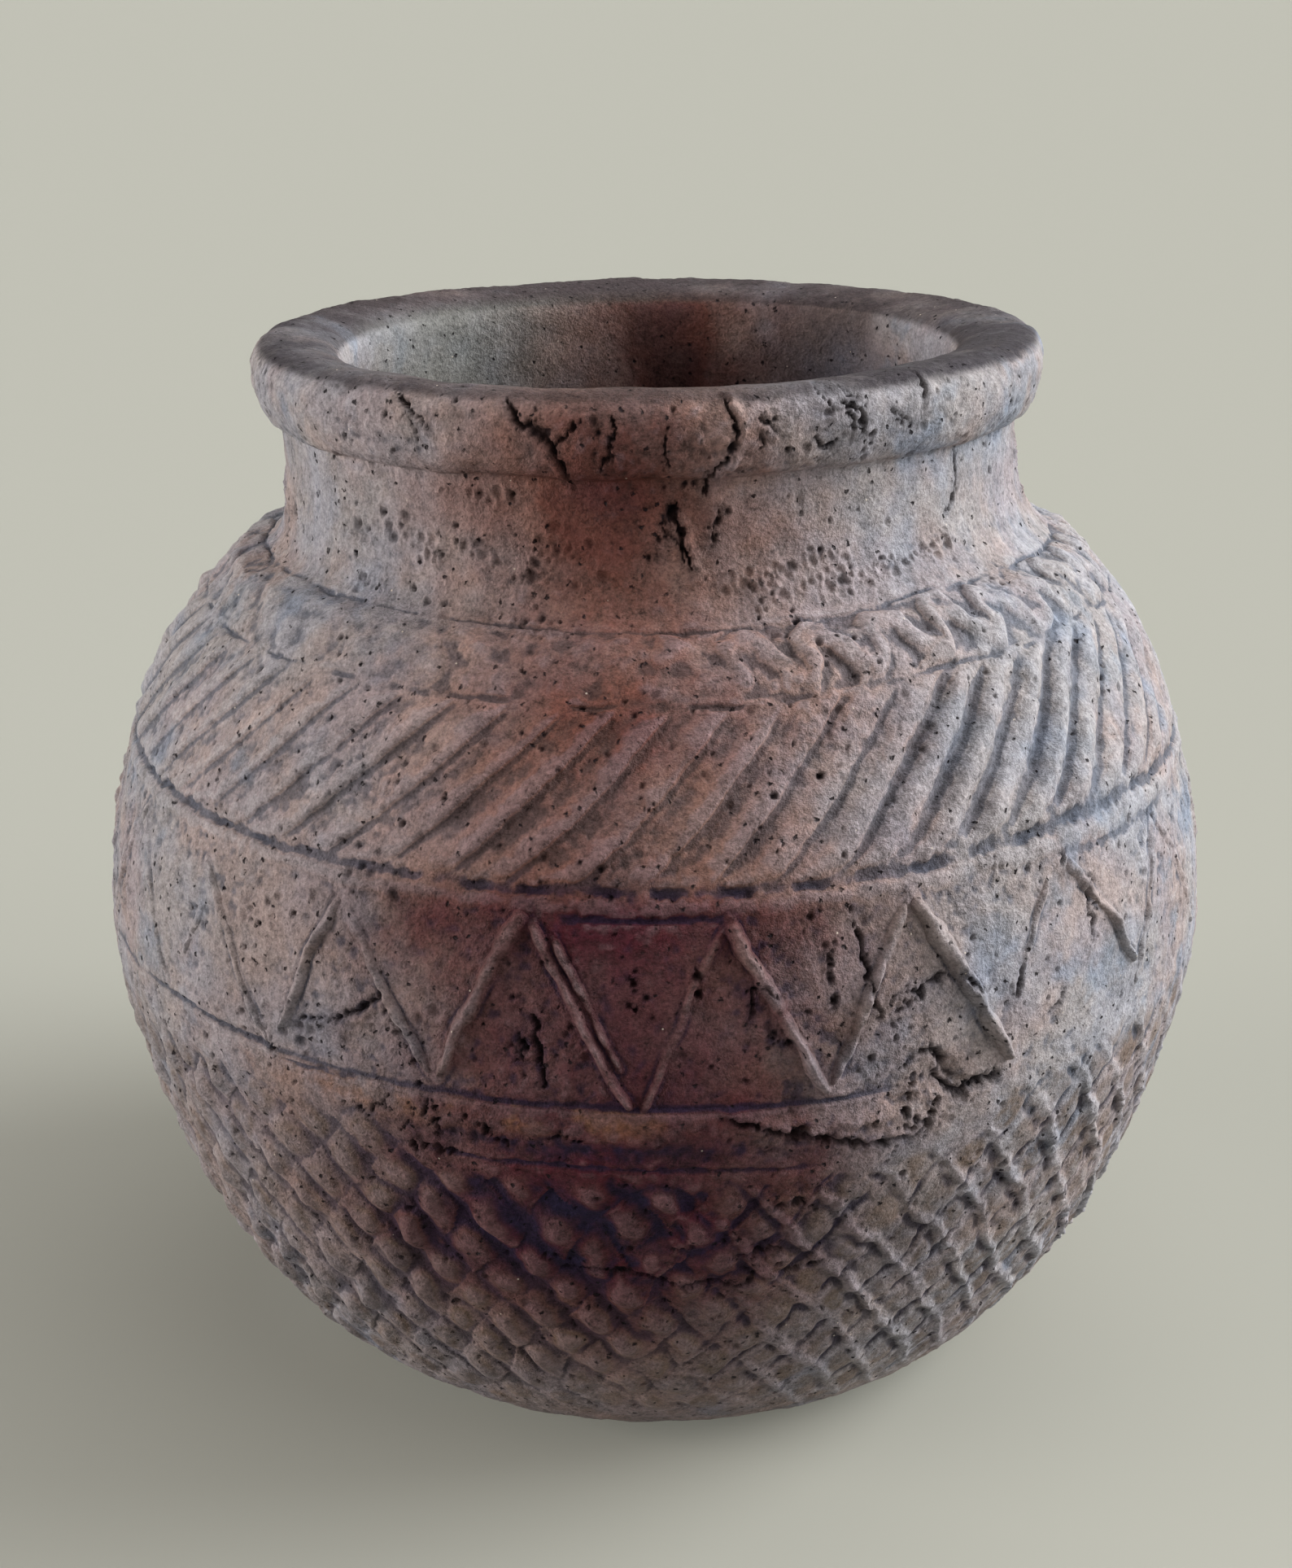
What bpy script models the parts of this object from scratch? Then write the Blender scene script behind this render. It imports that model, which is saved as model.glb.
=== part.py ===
"""Hand-built earthenware jar, raised course by course from a flat base pat.

Metres, +Z up. The foot stands on z = 0 and the jar's axis is Z. Azimuth 0 faces -Y and grows towards +X.
"""

import math

import bmesh
import bpy
from mathutils import Vector

# Radii of the jar, measured on the outside
BASE_RADIUS = 0.058
BELLY_RADIUS = 0.110
NECK_FOOT_RADIUS = 0.0765
NECK_TOP_RADIUS = 0.0709

# Rise of each course, from the foot up
BASE_PAT_RISE = 0.007
LOWER_NET_RISE = 0.049
UPPER_NET_RISE = 0.0233
PLAIN_BAND_RISE = 0.0128
ZIGZAG_RISE = 0.0347
RIB_RISE = 0.0256
COLLAR_RISE = 0.0076
NECK_RISE = 0.025
RIM_RISE = 0.0152

# Thicknesses and fits
WALL = 0.009
NECK_WALL = 0.012
NECK_WAIST = 0.0008
COLLAR_THICKNESS = 0.004
COLLAR_STEP = 0.0044
COLLAR_LINE = 0.0012
RIM_OVERHANG = 0.004
RIM_LIP = 0.0019
RIM_SLOPE = 0.22
RIM_SQUARENESS = 2.5
CLEARANCE = 0.0003

# Shape of the wall below and above the belly, as exponents of a superellipse
LOWER_FULLNESS = 1.3
LOWER_ROUNDNESS = 0.458
UPPER_FULLNESS = 2.2
UPPER_ROUNDNESS = 0.9
SLOPE_STEP = 0.0005

# Ornament
NET_CELLS = 60
NET_RELIEF = 0.0016
RIB_COUNT = 56
RIB_RELIEF = 0.0016
RIB_LEAN = math.radians(13)
LOBE_COUNT = 56
LOBE_RELIEF = 0.0012
ZIGZAG_COUNT = 21
ZIGZAG_PHASE = math.radians(-1.4)
ROLL_WIDTH = 0.0026
ROLL_HEIGHT = 0.0015
DOUBLED_TRIANGLE = 0
DOUBLED_SHARE = 0.65
DOUBLED_SPACING = 0.001

# Facets
PLAIN_COLUMNS = 60
RIB_COLUMNS = 3 * RIB_COUNT
RIM_POINTS = 12
ROLL_POINTS = 5
SMOOTH_ANGLE = math.radians(20)

# Heights of the seams, from the foot up
BASE_TOP = BASE_PAT_RISE
LOWER_NET_TOP = BASE_TOP + LOWER_NET_RISE
UPPER_NET_TOP = LOWER_NET_TOP + UPPER_NET_RISE
PLAIN_BAND_TOP = UPPER_NET_TOP + PLAIN_BAND_RISE
ZIGZAG_TOP = PLAIN_BAND_TOP + ZIGZAG_RISE
RIB_TOP = ZIGZAG_TOP + RIB_RISE
COLLAR_TOP = RIB_TOP + COLLAR_RISE
NECK_TOP = COLLAR_TOP + NECK_RISE
RIM_TOP = NECK_TOP + RIM_RISE
BELLY_LEVEL = (UPPER_NET_TOP + PLAIN_BAND_TOP) / 2
COLLAR_TOP_RADIUS = NECK_FOOT_RADIUS + COLLAR_STEP
SEAM = CLEARANCE / 2


def clay(name, colour, roughness=0.85):
    """A Principled material for fired clay."""
    material = bpy.data.materials.new(name)
    material.use_nodes = True
    shader = material.node_tree.nodes["Principled BSDF"]
    shader.inputs["Base Color"].default_value = (*colour, 1)
    shader.inputs["Roughness"].default_value = roughness
    shader.inputs["Metallic"].default_value = 0
    return material


def wall_radius(level):
    """Outer radius of the body wall at a height above the foot."""
    if level <= BELLY_LEVEL:
        left = 1 - max(level, 0) / BELLY_LEVEL
        share = (1 - left**LOWER_FULLNESS) ** LOWER_ROUNDNESS
        return BASE_RADIUS + (BELLY_RADIUS - BASE_RADIUS) * share
    climb = min((level - BELLY_LEVEL) / (COLLAR_TOP - BELLY_LEVEL), 1)
    share = (1 - climb**UPPER_FULLNESS) ** UPPER_ROUNDNESS
    return COLLAR_TOP_RADIUS + (BELLY_RADIUS - COLLAR_TOP_RADIUS) * share


def wall_normal(level):
    """Outward direction of the body wall at that height, as (radial, vertical)."""
    low = max(level - SLOPE_STEP, 0)
    high = min(level + SLOPE_STEP, COLLAR_TOP)
    slope = (wall_radius(high) - wall_radius(low)) / (high - low)
    length = math.hypot(1, slope)
    return 1 / length, -slope / length


def wall_point(level, depth=0.0, turn=0.0):
    """A section point at that height on the outer wall, moved into the wall by depth, as (radius, height, turn)."""
    radial, vertical = wall_normal(level)
    return wall_radius(level) - depth * radial, level - depth * vertical, turn


def spread(low, high, count):
    """Evenly spaced heights from low to high, both ends included."""
    return [low + (high - low) * step / (count - 1) for step in range(count)]


def new_object(name, vertices, faces, material):
    """A closed mesh object with its faces turned outwards."""
    mesh = bpy.data.meshes.new(name)
    mesh.from_pydata(vertices, [], faces)
    work = bmesh.new()
    work.from_mesh(mesh)
    bmesh.ops.recalc_face_normals(work, faces=work.faces)
    work.to_mesh(mesh)
    work.free()
    mesh.shade_smooth()
    mesh.set_sharp_from_angle(angle=SMOOTH_ANGLE)
    mesh.materials.append(material)
    made = bpy.data.objects.new(name, mesh)
    bpy.context.scene.collection.objects.link(made)
    made.parent = jar
    return made


def turned(name, columns, section, material):
    """A ring or disc: section(column) gives the closed section's points, which are joined round the axis.

    Where a section point lies on the axis, all the columns share it. Each quad is split along the diagonal
    that joins its two even corners, so a relief on even corners reads as crossing strands.
    """
    sections = [section(column) for column in range(columns)]
    count = len(sections[0])
    vertices = []
    known = {}

    def corner(column, step):
        column %= columns
        step %= count
        radius, height, turn = sections[column][step]
        key = step if radius == 0 else (column, step)
        if key not in known:
            azimuth = 2 * math.pi * column / columns + turn
            known[key] = len(vertices)
            vertices.append((radius * math.sin(azimuth), -radius * math.cos(azimuth), height))
        return known[key]

    faces = []
    for column in range(columns):
        for step in range(count):
            quad = [corner(column, step), corner(column + 1, step)]
            quad += [corner(column + 1, step + 1), corner(column, step + 1)]
            if (column + step) % 2:
                quad = quad[1:] + quad[:1]
            for face in ((quad[0], quad[1], quad[2]), (quad[0], quad[2], quad[3])):
                if len(set(face)) == 3:
                    faces.append(face)
    return new_object(name, vertices, faces, material)


def course(name, low, high, columns, outer_rows, inner_rows, material, relief=None, lean=None):
    """One course of the wall between two seams, cut square to the wall, with relief on its outside."""
    outer_levels = spread(low + SEAM, high - SEAM, outer_rows)
    inner_levels = spread(high - SEAM, low + SEAM, inner_rows)

    def section(column):
        points = []
        for row, level in enumerate(outer_levels):
            raised = relief(column, row, outer_rows) if relief else 0.0
            points.append(wall_point(level, -raised, lean(level) if lean else 0.0))
        for level in inner_levels:
            points.append(wall_point(level, WALL, lean(level) if lean else 0.0))
        return points

    return turned(name, columns, section, material)


def base_pat(material):
    """The flat pat of clay that the jar stands on, with its turned-up heel."""
    heel = [BASE_TOP * share**2 for share in spread(0, 1, 4)]
    heel[-1] -= SEAM

    def section(column):
        underside = [(0.0, 0.0, 0.0)] + [wall_point(level) for level in heel]
        floor = [wall_point(level, WALL) for level in reversed(heel)]
        return underside + floor + [(0.0, floor[-1][1], 0.0)]

    return turned("base_pat", PLAIN_COLUMNS, section, material)


def net_relief(column, row, rows):
    """Crossing strands of the impressed net, on every other corner of the grid."""
    return NET_RELIEF if (column + row) % 2 == 0 else 0.0


def rib_relief(column, row, rows):
    """Leaning ribs: a narrow furrow in every third column, running out at both ends."""
    if column % 3:
        return 0.0
    return -RIB_RELIEF * (0.4 if row in (0, rows - 1) else 1.0)


def rib_lean(level):
    """Turn of a rib about the axis at that height."""
    return RIB_LEAN * (level - ZIGZAG_TOP) / RIB_RISE


def collar_strip(material):
    """The stamped strip laid over the joint of neck and shoulder, with two rows of interlocking lobes."""
    levels = spread(RIB_TOP + SEAM, COLLAR_TOP, 5)

    def section(column):
        points = []
        for row, level in enumerate(levels):
            inside = 0 < row < len(levels) - 1
            raised = LOBE_RELIEF if inside and (column + row) % 2 == 0 else 0.0
            points.append(wall_point(level, -raised))
        points.append((NECK_FOOT_RADIUS + COLLAR_LINE, COLLAR_TOP, 0.0))
        for level in (COLLAR_TOP, RIB_TOP + SEAM):
            points.append(wall_point(level, COLLAR_THICKNESS - CLEARANCE))
        return points

    return turned("collar_strip", 2 * LOBE_COUNT, section, material)


def neck_radius(share):
    """Outer radius of the neck, from its foot at 0 to its top at 1."""
    straight = NECK_FOOT_RADIUS + (NECK_TOP_RADIUS - NECK_FOOT_RADIUS) * share
    return straight - NECK_WAIST * math.sin(math.pi * share)


def neck_course(material):
    """The neck, with a splayed foot that is luted to the shoulder under the collar strip."""
    foot = spread(RIB_TOP + SEAM, COLLAR_TOP, 3)
    climb = spread(0, 1, 4)

    def section(column):
        outside = [wall_point(level, COLLAR_THICKNESS) for level in foot]
        inside = [wall_point(level, WALL) for level in reversed(foot)]
        for share in climb:
            outside.append((neck_radius(share), COLLAR_TOP + NECK_RISE * share, 0.0))
        bore = []
        for share in reversed(climb):
            bore.append((neck_radius(share) - NECK_WALL, COLLAR_TOP + NECK_RISE * share, 0.0))
        return outside + bore + inside

    return turned("neck_course", PLAIN_COLUMNS, section, material)


def rim_roll(material):
    """The thick roll of clay round the mouth, seated flat on the neck, its top sloping inwards."""
    outer = NECK_TOP_RADIUS + RIM_OVERHANG
    inner = NECK_TOP_RADIUS - NECK_WALL - RIM_LIP
    middle = (outer + inner) / 2
    seat = NECK_TOP + CLEARANCE
    half_height = (RIM_TOP - seat) / 2

    def swell(value):
        return math.copysign(abs(value) ** (2 / RIM_SQUARENESS), value)

    def section(column):
        points = []
        for step in range(RIM_POINTS):
            angle = 2 * math.pi * (step + 0.5) / RIM_POINTS
            radius = middle + (outer - inner) / 2 * swell(math.cos(angle))
            height = seat + half_height * (1 + swell(math.sin(angle)))
            fall = RIM_SLOPE * max(middle - radius, 0) * (height - seat) / (RIM_TOP - seat)
            points.append((radius, height - fall, 0.0))
        return points

    return turned("rim_roll", PLAIN_COLUMNS, section, material)


def on_wall(azimuth, level, lift):
    """A point above the wall's outside, and the wall's outward direction there."""
    radius, height, _ = wall_point(level, -lift)
    radial, vertical = wall_normal(level)
    place = Vector((radius * math.sin(azimuth), -radius * math.cos(azimuth), height))
    return place, Vector((radial * math.sin(azimuth), -radial * math.cos(azimuth), vertical))


def clay_roll(name, foot, head, material):
    """A thin half-round roll pressed on the wall from foot to head, each (azimuth, level), with tapered tips."""
    stations = ((0.0, 0.5), (0.05, 1.0), (0.5, 1.0), (0.95, 1.0), (1.0, 0.5))
    start, _ = on_wall(*foot, CLEARANCE)
    end, _ = on_wall(*head, CLEARANCE)
    along = (end - start).normalized()
    vertices = []
    for share, size in stations:
        azimuth = foot[0] + (head[0] - foot[0]) * share
        level = foot[1] + (head[1] - foot[1]) * share
        place, out = on_wall(azimuth, level, CLEARANCE)
        side = out.cross(along).normalized()
        for step in range(ROLL_POINTS):
            angle = math.pi * step / (ROLL_POINTS - 1)
            across = side * (ROLL_WIDTH / 2 * size * math.cos(angle))
            vertices.append(place + across + out * (ROLL_HEIGHT * size * math.sin(angle)))
    faces = []
    for ring in range(len(stations) - 1):
        for step in range(ROLL_POINTS):
            turn = (step + 1) % ROLL_POINTS
            near = ring * ROLL_POINTS
            far = near + ROLL_POINTS
            faces.append((near + step, near + turn, far + turn))
            faces.append((near + step, far + turn, far + step))
    faces.append(tuple(range(ROLL_POINTS)))
    faces.append(tuple(range(len(vertices) - ROLL_POINTS, len(vertices))))
    return new_object(name, [tuple(place) for place in vertices], faces, material)


def zigzag_rolls(material):
    """The band of triangles: for each, one roll rises to its apex and one falls from it."""
    foot_level = PLAIN_BAND_TOP + ROLL_WIDTH
    head_level = ZIGZAG_TOP - ROLL_WIDTH
    half_pitch = math.pi / ZIGZAG_COUNT
    run = wall_radius(foot_level) * half_pitch
    slant = math.atan2(run, head_level - foot_level)
    inset = (ROLL_WIDTH * math.cos(slant) + CLEARANCE) / 2
    foot_inset = inset / wall_radius(foot_level)
    head_inset = inset / wall_radius(head_level)
    for triangle in range(ZIGZAG_COUNT):
        left = ZIGZAG_PHASE + (2 * triangle - 2) * half_pitch
        apex = left + half_pitch
        right = apex + half_pitch
        number = f"{triangle + 1:02d}"
        clay_roll(
            f"zigzag_rise_{number}", (left + foot_inset, foot_level), (apex - head_inset, head_level), material
        )
        clay_roll(
            f"zigzag_fall_{number}", (right - foot_inset, foot_level), (apex + head_inset, head_level), material
        )
        if triangle == DOUBLED_TRIANGLE:
            beside = (ROLL_WIDTH + DOUBLED_SPACING) / math.cos(slant) / wall_radius(foot_level)
            end_level = head_level - (head_level - foot_level) * DOUBLED_SHARE
            end_azimuth = apex + (half_pitch - foot_inset) * DOUBLED_SHARE
            clay_roll(
                "zigzag_doubled_roll",
                (end_azimuth + beside, end_level),
                (apex + head_inset + beside, head_level),
                material,
            )


for old in list(bpy.data.objects):
    bpy.data.objects.remove(old)
jar = bpy.data.objects.new("jar", None)
bpy.context.scene.collection.objects.link(jar)

foot_clay = clay("foot_clay", (0.16, 0.11, 0.08))
net_clay = clay("net_clay", (0.20, 0.14, 0.12))
band_clay = clay("band_clay", (0.24, 0.15, 0.11))
shoulder_clay = clay("shoulder_clay", (0.26, 0.18, 0.16))
neck_clay = clay("neck_clay", (0.25, 0.17, 0.15))
rim_clay = clay("rim_clay", (0.18, 0.13, 0.11))
roll_clay = clay("roll_clay", (0.30, 0.22, 0.20))

base_pat(foot_clay)
course("lower_net_course", BASE_TOP, LOWER_NET_TOP, 2 * NET_CELLS, 9, 6, net_clay, net_relief)
course("upper_net_course", LOWER_NET_TOP, UPPER_NET_TOP, 2 * NET_CELLS, 5, 3, net_clay, net_relief)
course("plain_band_course", UPPER_NET_TOP, PLAIN_BAND_TOP, PLAIN_COLUMNS, 3, 2, band_clay)
course("zigzag_course", PLAIN_BAND_TOP, ZIGZAG_TOP, PLAIN_COLUMNS, 5, 4, band_clay)
course("shoulder_course", ZIGZAG_TOP, RIB_TOP, RIB_COLUMNS, 4, 3, shoulder_clay, rib_relief, rib_lean)
collar_strip(shoulder_clay)
neck_course(neck_clay)
rim_roll(rim_clay)
zigzag_rolls(roll_clay)
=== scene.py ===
# %% [markdown]
# An earthenware jar, built by hand from rings of clay and left unglazed.
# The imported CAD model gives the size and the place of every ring. This lesson dresses it: each ring gets
# its true hand-made surface, with net marks, rolls, ribs, lobes, cracks and pits cut in the mesh itself.

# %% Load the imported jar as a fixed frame
import math

import bmesh
import bpy
import numpy as np
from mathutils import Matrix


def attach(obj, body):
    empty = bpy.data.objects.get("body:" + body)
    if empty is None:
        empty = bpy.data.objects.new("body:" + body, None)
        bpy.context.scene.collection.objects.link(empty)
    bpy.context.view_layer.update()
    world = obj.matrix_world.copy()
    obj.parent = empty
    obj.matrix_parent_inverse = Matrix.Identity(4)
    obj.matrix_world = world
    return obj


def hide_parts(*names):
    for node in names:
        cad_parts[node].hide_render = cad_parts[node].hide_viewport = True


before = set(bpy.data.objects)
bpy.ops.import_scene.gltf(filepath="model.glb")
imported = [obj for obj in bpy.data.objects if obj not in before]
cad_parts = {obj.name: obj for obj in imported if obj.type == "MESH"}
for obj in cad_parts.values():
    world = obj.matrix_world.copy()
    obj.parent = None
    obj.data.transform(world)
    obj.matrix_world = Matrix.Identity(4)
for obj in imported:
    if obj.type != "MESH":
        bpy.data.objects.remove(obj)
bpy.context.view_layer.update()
print("nodes in the frame:", len(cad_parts))

# %% [markdown]
# The outline of the jar is one curve, drawn once round the section: under the foot, up the outside,
# over the rim and down the inside to the floor. Lengths in this lesson are millimetres until a mesh is made.
# One curve for everything keeps the wall's thickness right and lets neighbouring rings share their edges.

# %% Outline of the body
MM = 0.001
HEEL, NET_SEAM, BAND_FOOT, BAND_TOP = 7.0, 56.0, 79.3, 92.1
RIB_FOOT, RIB_TOP, COLLAR_TOP, NECK_TOP, RIM_TOP = 126.8, 152.4, 160.0, 185.0, 200.2
FOOT_RADIUS, BELLY_RADIUS, COLLAR_RADIUS = 58.0, 110.0, 80.9
NECK_FOOT_RADIUS, NECK_TOP_RADIUS, NECK_WALL, WALL = 76.5, 70.9, 12.0, 9.0
BELLY_LEVEL = (BAND_FOOT + BAND_TOP) / 2


def body_radius(level):
    """Outer radius of the body at a level above the foot."""
    below = 1 - np.clip(1 - level / BELLY_LEVEL, 0, 1) ** 1.3
    climb = np.clip((level - BELLY_LEVEL) / (COLLAR_TOP - BELLY_LEVEL), 0, 1)
    low = FOOT_RADIUS + (BELLY_RADIUS - FOOT_RADIUS) * below ** 0.458
    high = COLLAR_RADIUS + (BELLY_RADIUS - COLLAR_RADIUS) * (1 - climb**2.2) ** 0.9
    return np.where(level < BELLY_LEVEL, low, high)


def body_line(low, high, depth=0.0, count=400):
    """Points (radius, level) of the body wall from one level to another, moved into the wall by depth."""
    level = np.linspace(low, high, count)
    if min(low, high) <= 0:
        level = high + (low - high) * np.linspace(1, 0, count) ** 2 if low < high else level
    radius = body_radius(level)
    step = 0.4
    slope = (body_radius(level + step) - body_radius(np.maximum(level - step, 0))) / (
        step + np.minimum(step, level)
    )
    slope = np.where(level > COLLAR_TOP - step, slope[np.argmin(abs(level - COLLAR_TOP + step))], slope)
    length = np.hypot(1, slope)
    return np.stack([radius - depth / length, level + depth * slope / length], 1)


print("belly radius", float(body_radius(np.array(BELLY_LEVEL))), "mm at level", BELLY_LEVEL)

# %% [markdown]
# The neck is a short, slightly hollow throat and the rim a thick roll laid on top of it. Both could be turned
# from arcs, but the photograph gives a handful of points on their edge, so a smooth curve runs through them.


# %% Outline of neck and rim
def curve_through(points, count=60):
    """Points of a smooth curve through the given points."""
    points = np.array(points, float)
    wide = np.concatenate([[2 * points[0] - points[1]], points, [2 * points[-1] - points[-2]]])
    share = np.linspace(0, 1, count, endpoint=False)[:, None]
    pieces = []
    for a, b, c, d in zip(wide, wide[1:], wide[2:], wide[3:]):
        turns = 2 * b + (c - a) * share + (2 * a - 5 * b + 4 * c - d) * share**2
        pieces.append((turns + (3 * b - a - 3 * c + d) * share**3) / 2)
    return np.concatenate(pieces + [points[-1:]])


def straight(*corners):
    """Points along straight lines through the corners."""
    corners = np.array(corners, float)
    share = np.linspace(0, len(corners) - 1, 120 * (len(corners) - 1) + 1)
    return np.stack([np.interp(share, np.arange(len(corners)), corners[:, axis]) for axis in (0, 1)], 1)


neck_points = [
    (76.0, 161.8), (74.6, 162.6), (73.2, 164.3), (72.0, 167.0), (71.1, 170.4), (70.5, 174.6),
    (70.2, 180.0), (70.2, 185.8),
]
rim_points = [
    (70.2, 185.8), (71.5, 186.0), (73.0, 187.2), (74.2, 189.3), (74.9, 191.8), (75.1, 194.4), (74.8, 196.9),
    (73.6, 198.9), (71.5, 200.0), (68.8, 200.3), (65.5, 199.9), (62.2, 199.1), (60.0, 198.1), (58.6, 196.6),
    (58.0, 194.4), (58.0, 191.0), (58.4, 188.0), (58.9, 185.0),
]
print("rim from radius", rim_points[-1][0], "to", max(r for r, _ in rim_points), "mm")

# %% [markdown]
# Each ring of the jar owns one stretch of the curve. The stretches are named here, joined end to end and cut
# into steps: fine where the skin carries marks and coarse where only the dark inside would show them.

# %% One curve through all the stretches
bore_top = NECK_TOP_RADIUS - NECK_WALL
bore_foot = NECK_FOOT_RADIUS - NECK_WALL
stretches = {
    "underside": straight((0, 0), (FOOT_RADIUS - 1, 0)),
    "heel": body_line(0, HEEL),
    "lower_net": body_line(HEEL, NET_SEAM),
    "upper_net": body_line(NET_SEAM, BAND_FOOT),
    "band": body_line(BAND_FOOT, BAND_TOP),
    "zigzag": body_line(BAND_TOP, RIB_FOOT),
    "shoulder": body_line(RIB_FOOT, RIB_TOP),
    "collar": np.concatenate([body_line(RIB_TOP, COLLAR_TOP), [neck_points[0]]]),
    "neck": curve_through(neck_points),
    "rim": curve_through(rim_points),
    "bore": straight((bore_top, NECK_TOP), (bore_foot, COLLAR_TOP)),
    "neck_foot_inside": body_line(COLLAR_TOP, RIB_TOP, WALL),
    "shoulder_inside": body_line(RIB_TOP, RIB_FOOT, WALL),
    "zigzag_inside": body_line(RIB_FOOT, BAND_TOP, WALL),
    "band_inside": body_line(BAND_TOP, BAND_FOOT, WALL),
    "upper_net_inside": body_line(BAND_FOOT, NET_SEAM, WALL),
    "lower_net_inside": body_line(NET_SEAM, HEEL, WALL),
    "floor_inside": straight((62.0, 13.5), (50.0, 9.4), (0, 9.0)),
}
FINE, COARSE = 0.45, 3.0
STEP = {name: FINE for name in stretches}
STEP.update(underside=COARSE, bore=0.8, neck_foot_inside=1.1, shoulder_inside=1.1, zigzag_inside=1.5)
STEP.update(band_inside=COARSE, upper_net_inside=COARSE, lower_net_inside=COARSE, floor_inside=COARSE)


def resample(line, step):
    """The line's points again, about one step apart."""
    along = np.concatenate([[0], np.cumsum(np.hypot(*np.diff(line, axis=0).T))])
    count = max(2, round(along[-1] / step) + 1)
    places = np.linspace(0, along[-1], count)
    return np.stack([np.interp(places, along, line[:, axis]) for axis in (0, 1)], 1)


rows = []
first_row, last_row = {}, {}
for name, line in stretches.items():
    points = resample(line, STEP[name])
    if rows:
        points = points[1:]
    first_row[name] = max(len(rows) - 1, 0)
    rows.extend(points)
    last_row[name] = len(rows) - 1
outline = np.array(rows)
print("rows round the section:", len(outline))

# %% [markdown]
# A thrown curve would be too crisp, so the curve's corners are softened a little, as a thumb would.
# Columns run round the jar. They stand closer together on the front half, where the photograph shows cracks
# that are less than a millimetre wide, and wider apart at the back.

# %% Soften the outline, then find arc lengths and outward directions
for _ in range(2):
    middle = (outline[:-2] + 2 * outline[1:-1] + outline[2:]) / 4
    outline[1:-1] = middle
outline[0, 0] = outline[-1, 0] = 0.0
ARC = np.concatenate([[0], np.cumsum(np.hypot(*np.diff(outline, axis=0).T))])
tangent = np.gradient(outline, ARC, axis=0)
tangent /= np.hypot(*tangent.T)[:, None]
OUT = np.stack([tangent[:, 1], -tangent[:, 0]], 1)
RADIUS, LEVEL = outline.T
FRONT_HALF = 82.0
AZIMUTH = np.concatenate(
    [np.arange(-FRONT_HALF, FRONT_HALF, 0.2), np.arange(FRONT_HALF, 360 - FRONT_HALF, 0.4)]
)
ROWS, COLUMNS = len(outline), len(AZIMUTH)
rim_crown = int(np.argmax(LEVEL))
OUTSIDE = slice(0, rim_crown + 1)
print("skin of", ROWS, "x", COLUMNS, "points")

# %% [markdown]
# Noise gives clay its unevenness. It is evaluated on the jar's real surface in three dimensions, so it has no
# seam at the back, and its cells can be stretched upwards for the grain that a wiping hand leaves.

# %% Solid noise on arrays of points
random = np.random.default_rng(20)
SLOPES = random.normal(size=(4096, 3))
SLOPES /= np.linalg.norm(SLOPES, axis=1)[:, None]
ASKEW = np.linalg.qr(random.normal(size=(3, 3)))[0]


def solid_noise(points, size, seed):
    """Gradient noise from about -1 to 1, with cells of the given size in millimetres along x, y and z."""
    place = (points / np.asarray(size, float)) @ ASKEW + 37.3 * seed + 211.7
    cell = np.floor(place).astype(np.int64)
    inside = place - cell
    fade = inside**3 * (inside * (inside * 6 - 15) + 10)
    total = np.zeros(points.shape[:-1])
    for corner in np.ndindex(2, 2, 2):
        index = cell + corner
        key = (index[..., 0] * 73856093) ^ (index[..., 1] * 19349663) ^ (index[..., 2] * 83492791)
        slope = SLOPES[(key ^ (seed * 2654435)) & 4095]
        weight = np.prod(np.where(corner, fade, 1 - fade), axis=-1)
        total += weight * np.sum(slope * (inside - corner), axis=-1)
    return total * 1.6


def surface(row_range):
    """The plain skin's points for some rows, as x, y, z."""
    turn = np.radians(AZIMUTH)[None, :]
    radius = RADIUS[row_range, None]
    level = np.broadcast_to(LEVEL[row_range, None], (radius.shape[0], COLUMNS))
    return np.stack([radius * np.sin(turn), -radius * np.cos(turn), level], -1)


def ease(low, high, value):
    """0 below low, 1 above high and a smooth rise between."""
    share = np.clip((value - low) / (high - low), 0, 1)
    return share * share * (3 - 2 * share)


def apart(azimuth, centre):
    """The smallest turn from centre to azimuth, in degrees."""
    return (azimuth - centre + 180) % 360 - 180


plain = surface(slice(0, ROWS))
lift = np.zeros((ROWS, COLUMNS))
soot = np.zeros((ROWS, COLUMNS))
black = np.zeros((ROWS, COLUMNS))
print("fields of", lift.size, "points")

# %% [markdown]
# Hands leave broad dents, wiping leaves smaller ones and gritty clay has a crust. A sculpting brush could do
# this by eye. Noise of several sizes does it evenly, and the same on every run. The neck was smoothed more.

# %% Lumps that hands leave
lift += 0.45 * solid_noise(plain, 46, 1) + 0.28 * solid_noise(plain, 15, 2)
lift += 0.22 * solid_noise(plain, (6, 6, 8), 3)
outside_points = plain[OUTSIDE]
outside_level = LEVEL[OUTSIDE, None]
coarse = ease(-0.5, 0.6, solid_noise(outside_points, 22, 4))
smooth_neck = ease(158, 164, outside_level) * ease(186, 182, outside_level)
crust = 0.5 + 0.8 * coarse - 0.2 * ease(84, 74, outside_level) - 0.35 * smooth_neck
lift[OUTSIDE] += 0.20 * crust * solid_noise(outside_points, 2.9, 61)
lift[OUTSIDE] += 0.13 * crust * solid_noise(outside_points, 1.35, 62)
lumpy_rim = ease(182, 188, outside_level) * (0.16 + 0.2 * ease(100, 60, np.abs(AZIMUTH)))[None, :]
lift[OUTSIDE] += lumpy_rim * solid_noise(outside_points, (10, 10, 7), 94)
lift[: first_row["heel"] + 1] *= 0.3
print("lumps from", lift.min().round(2), "to", lift.max().round(2), "mm")

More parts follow.
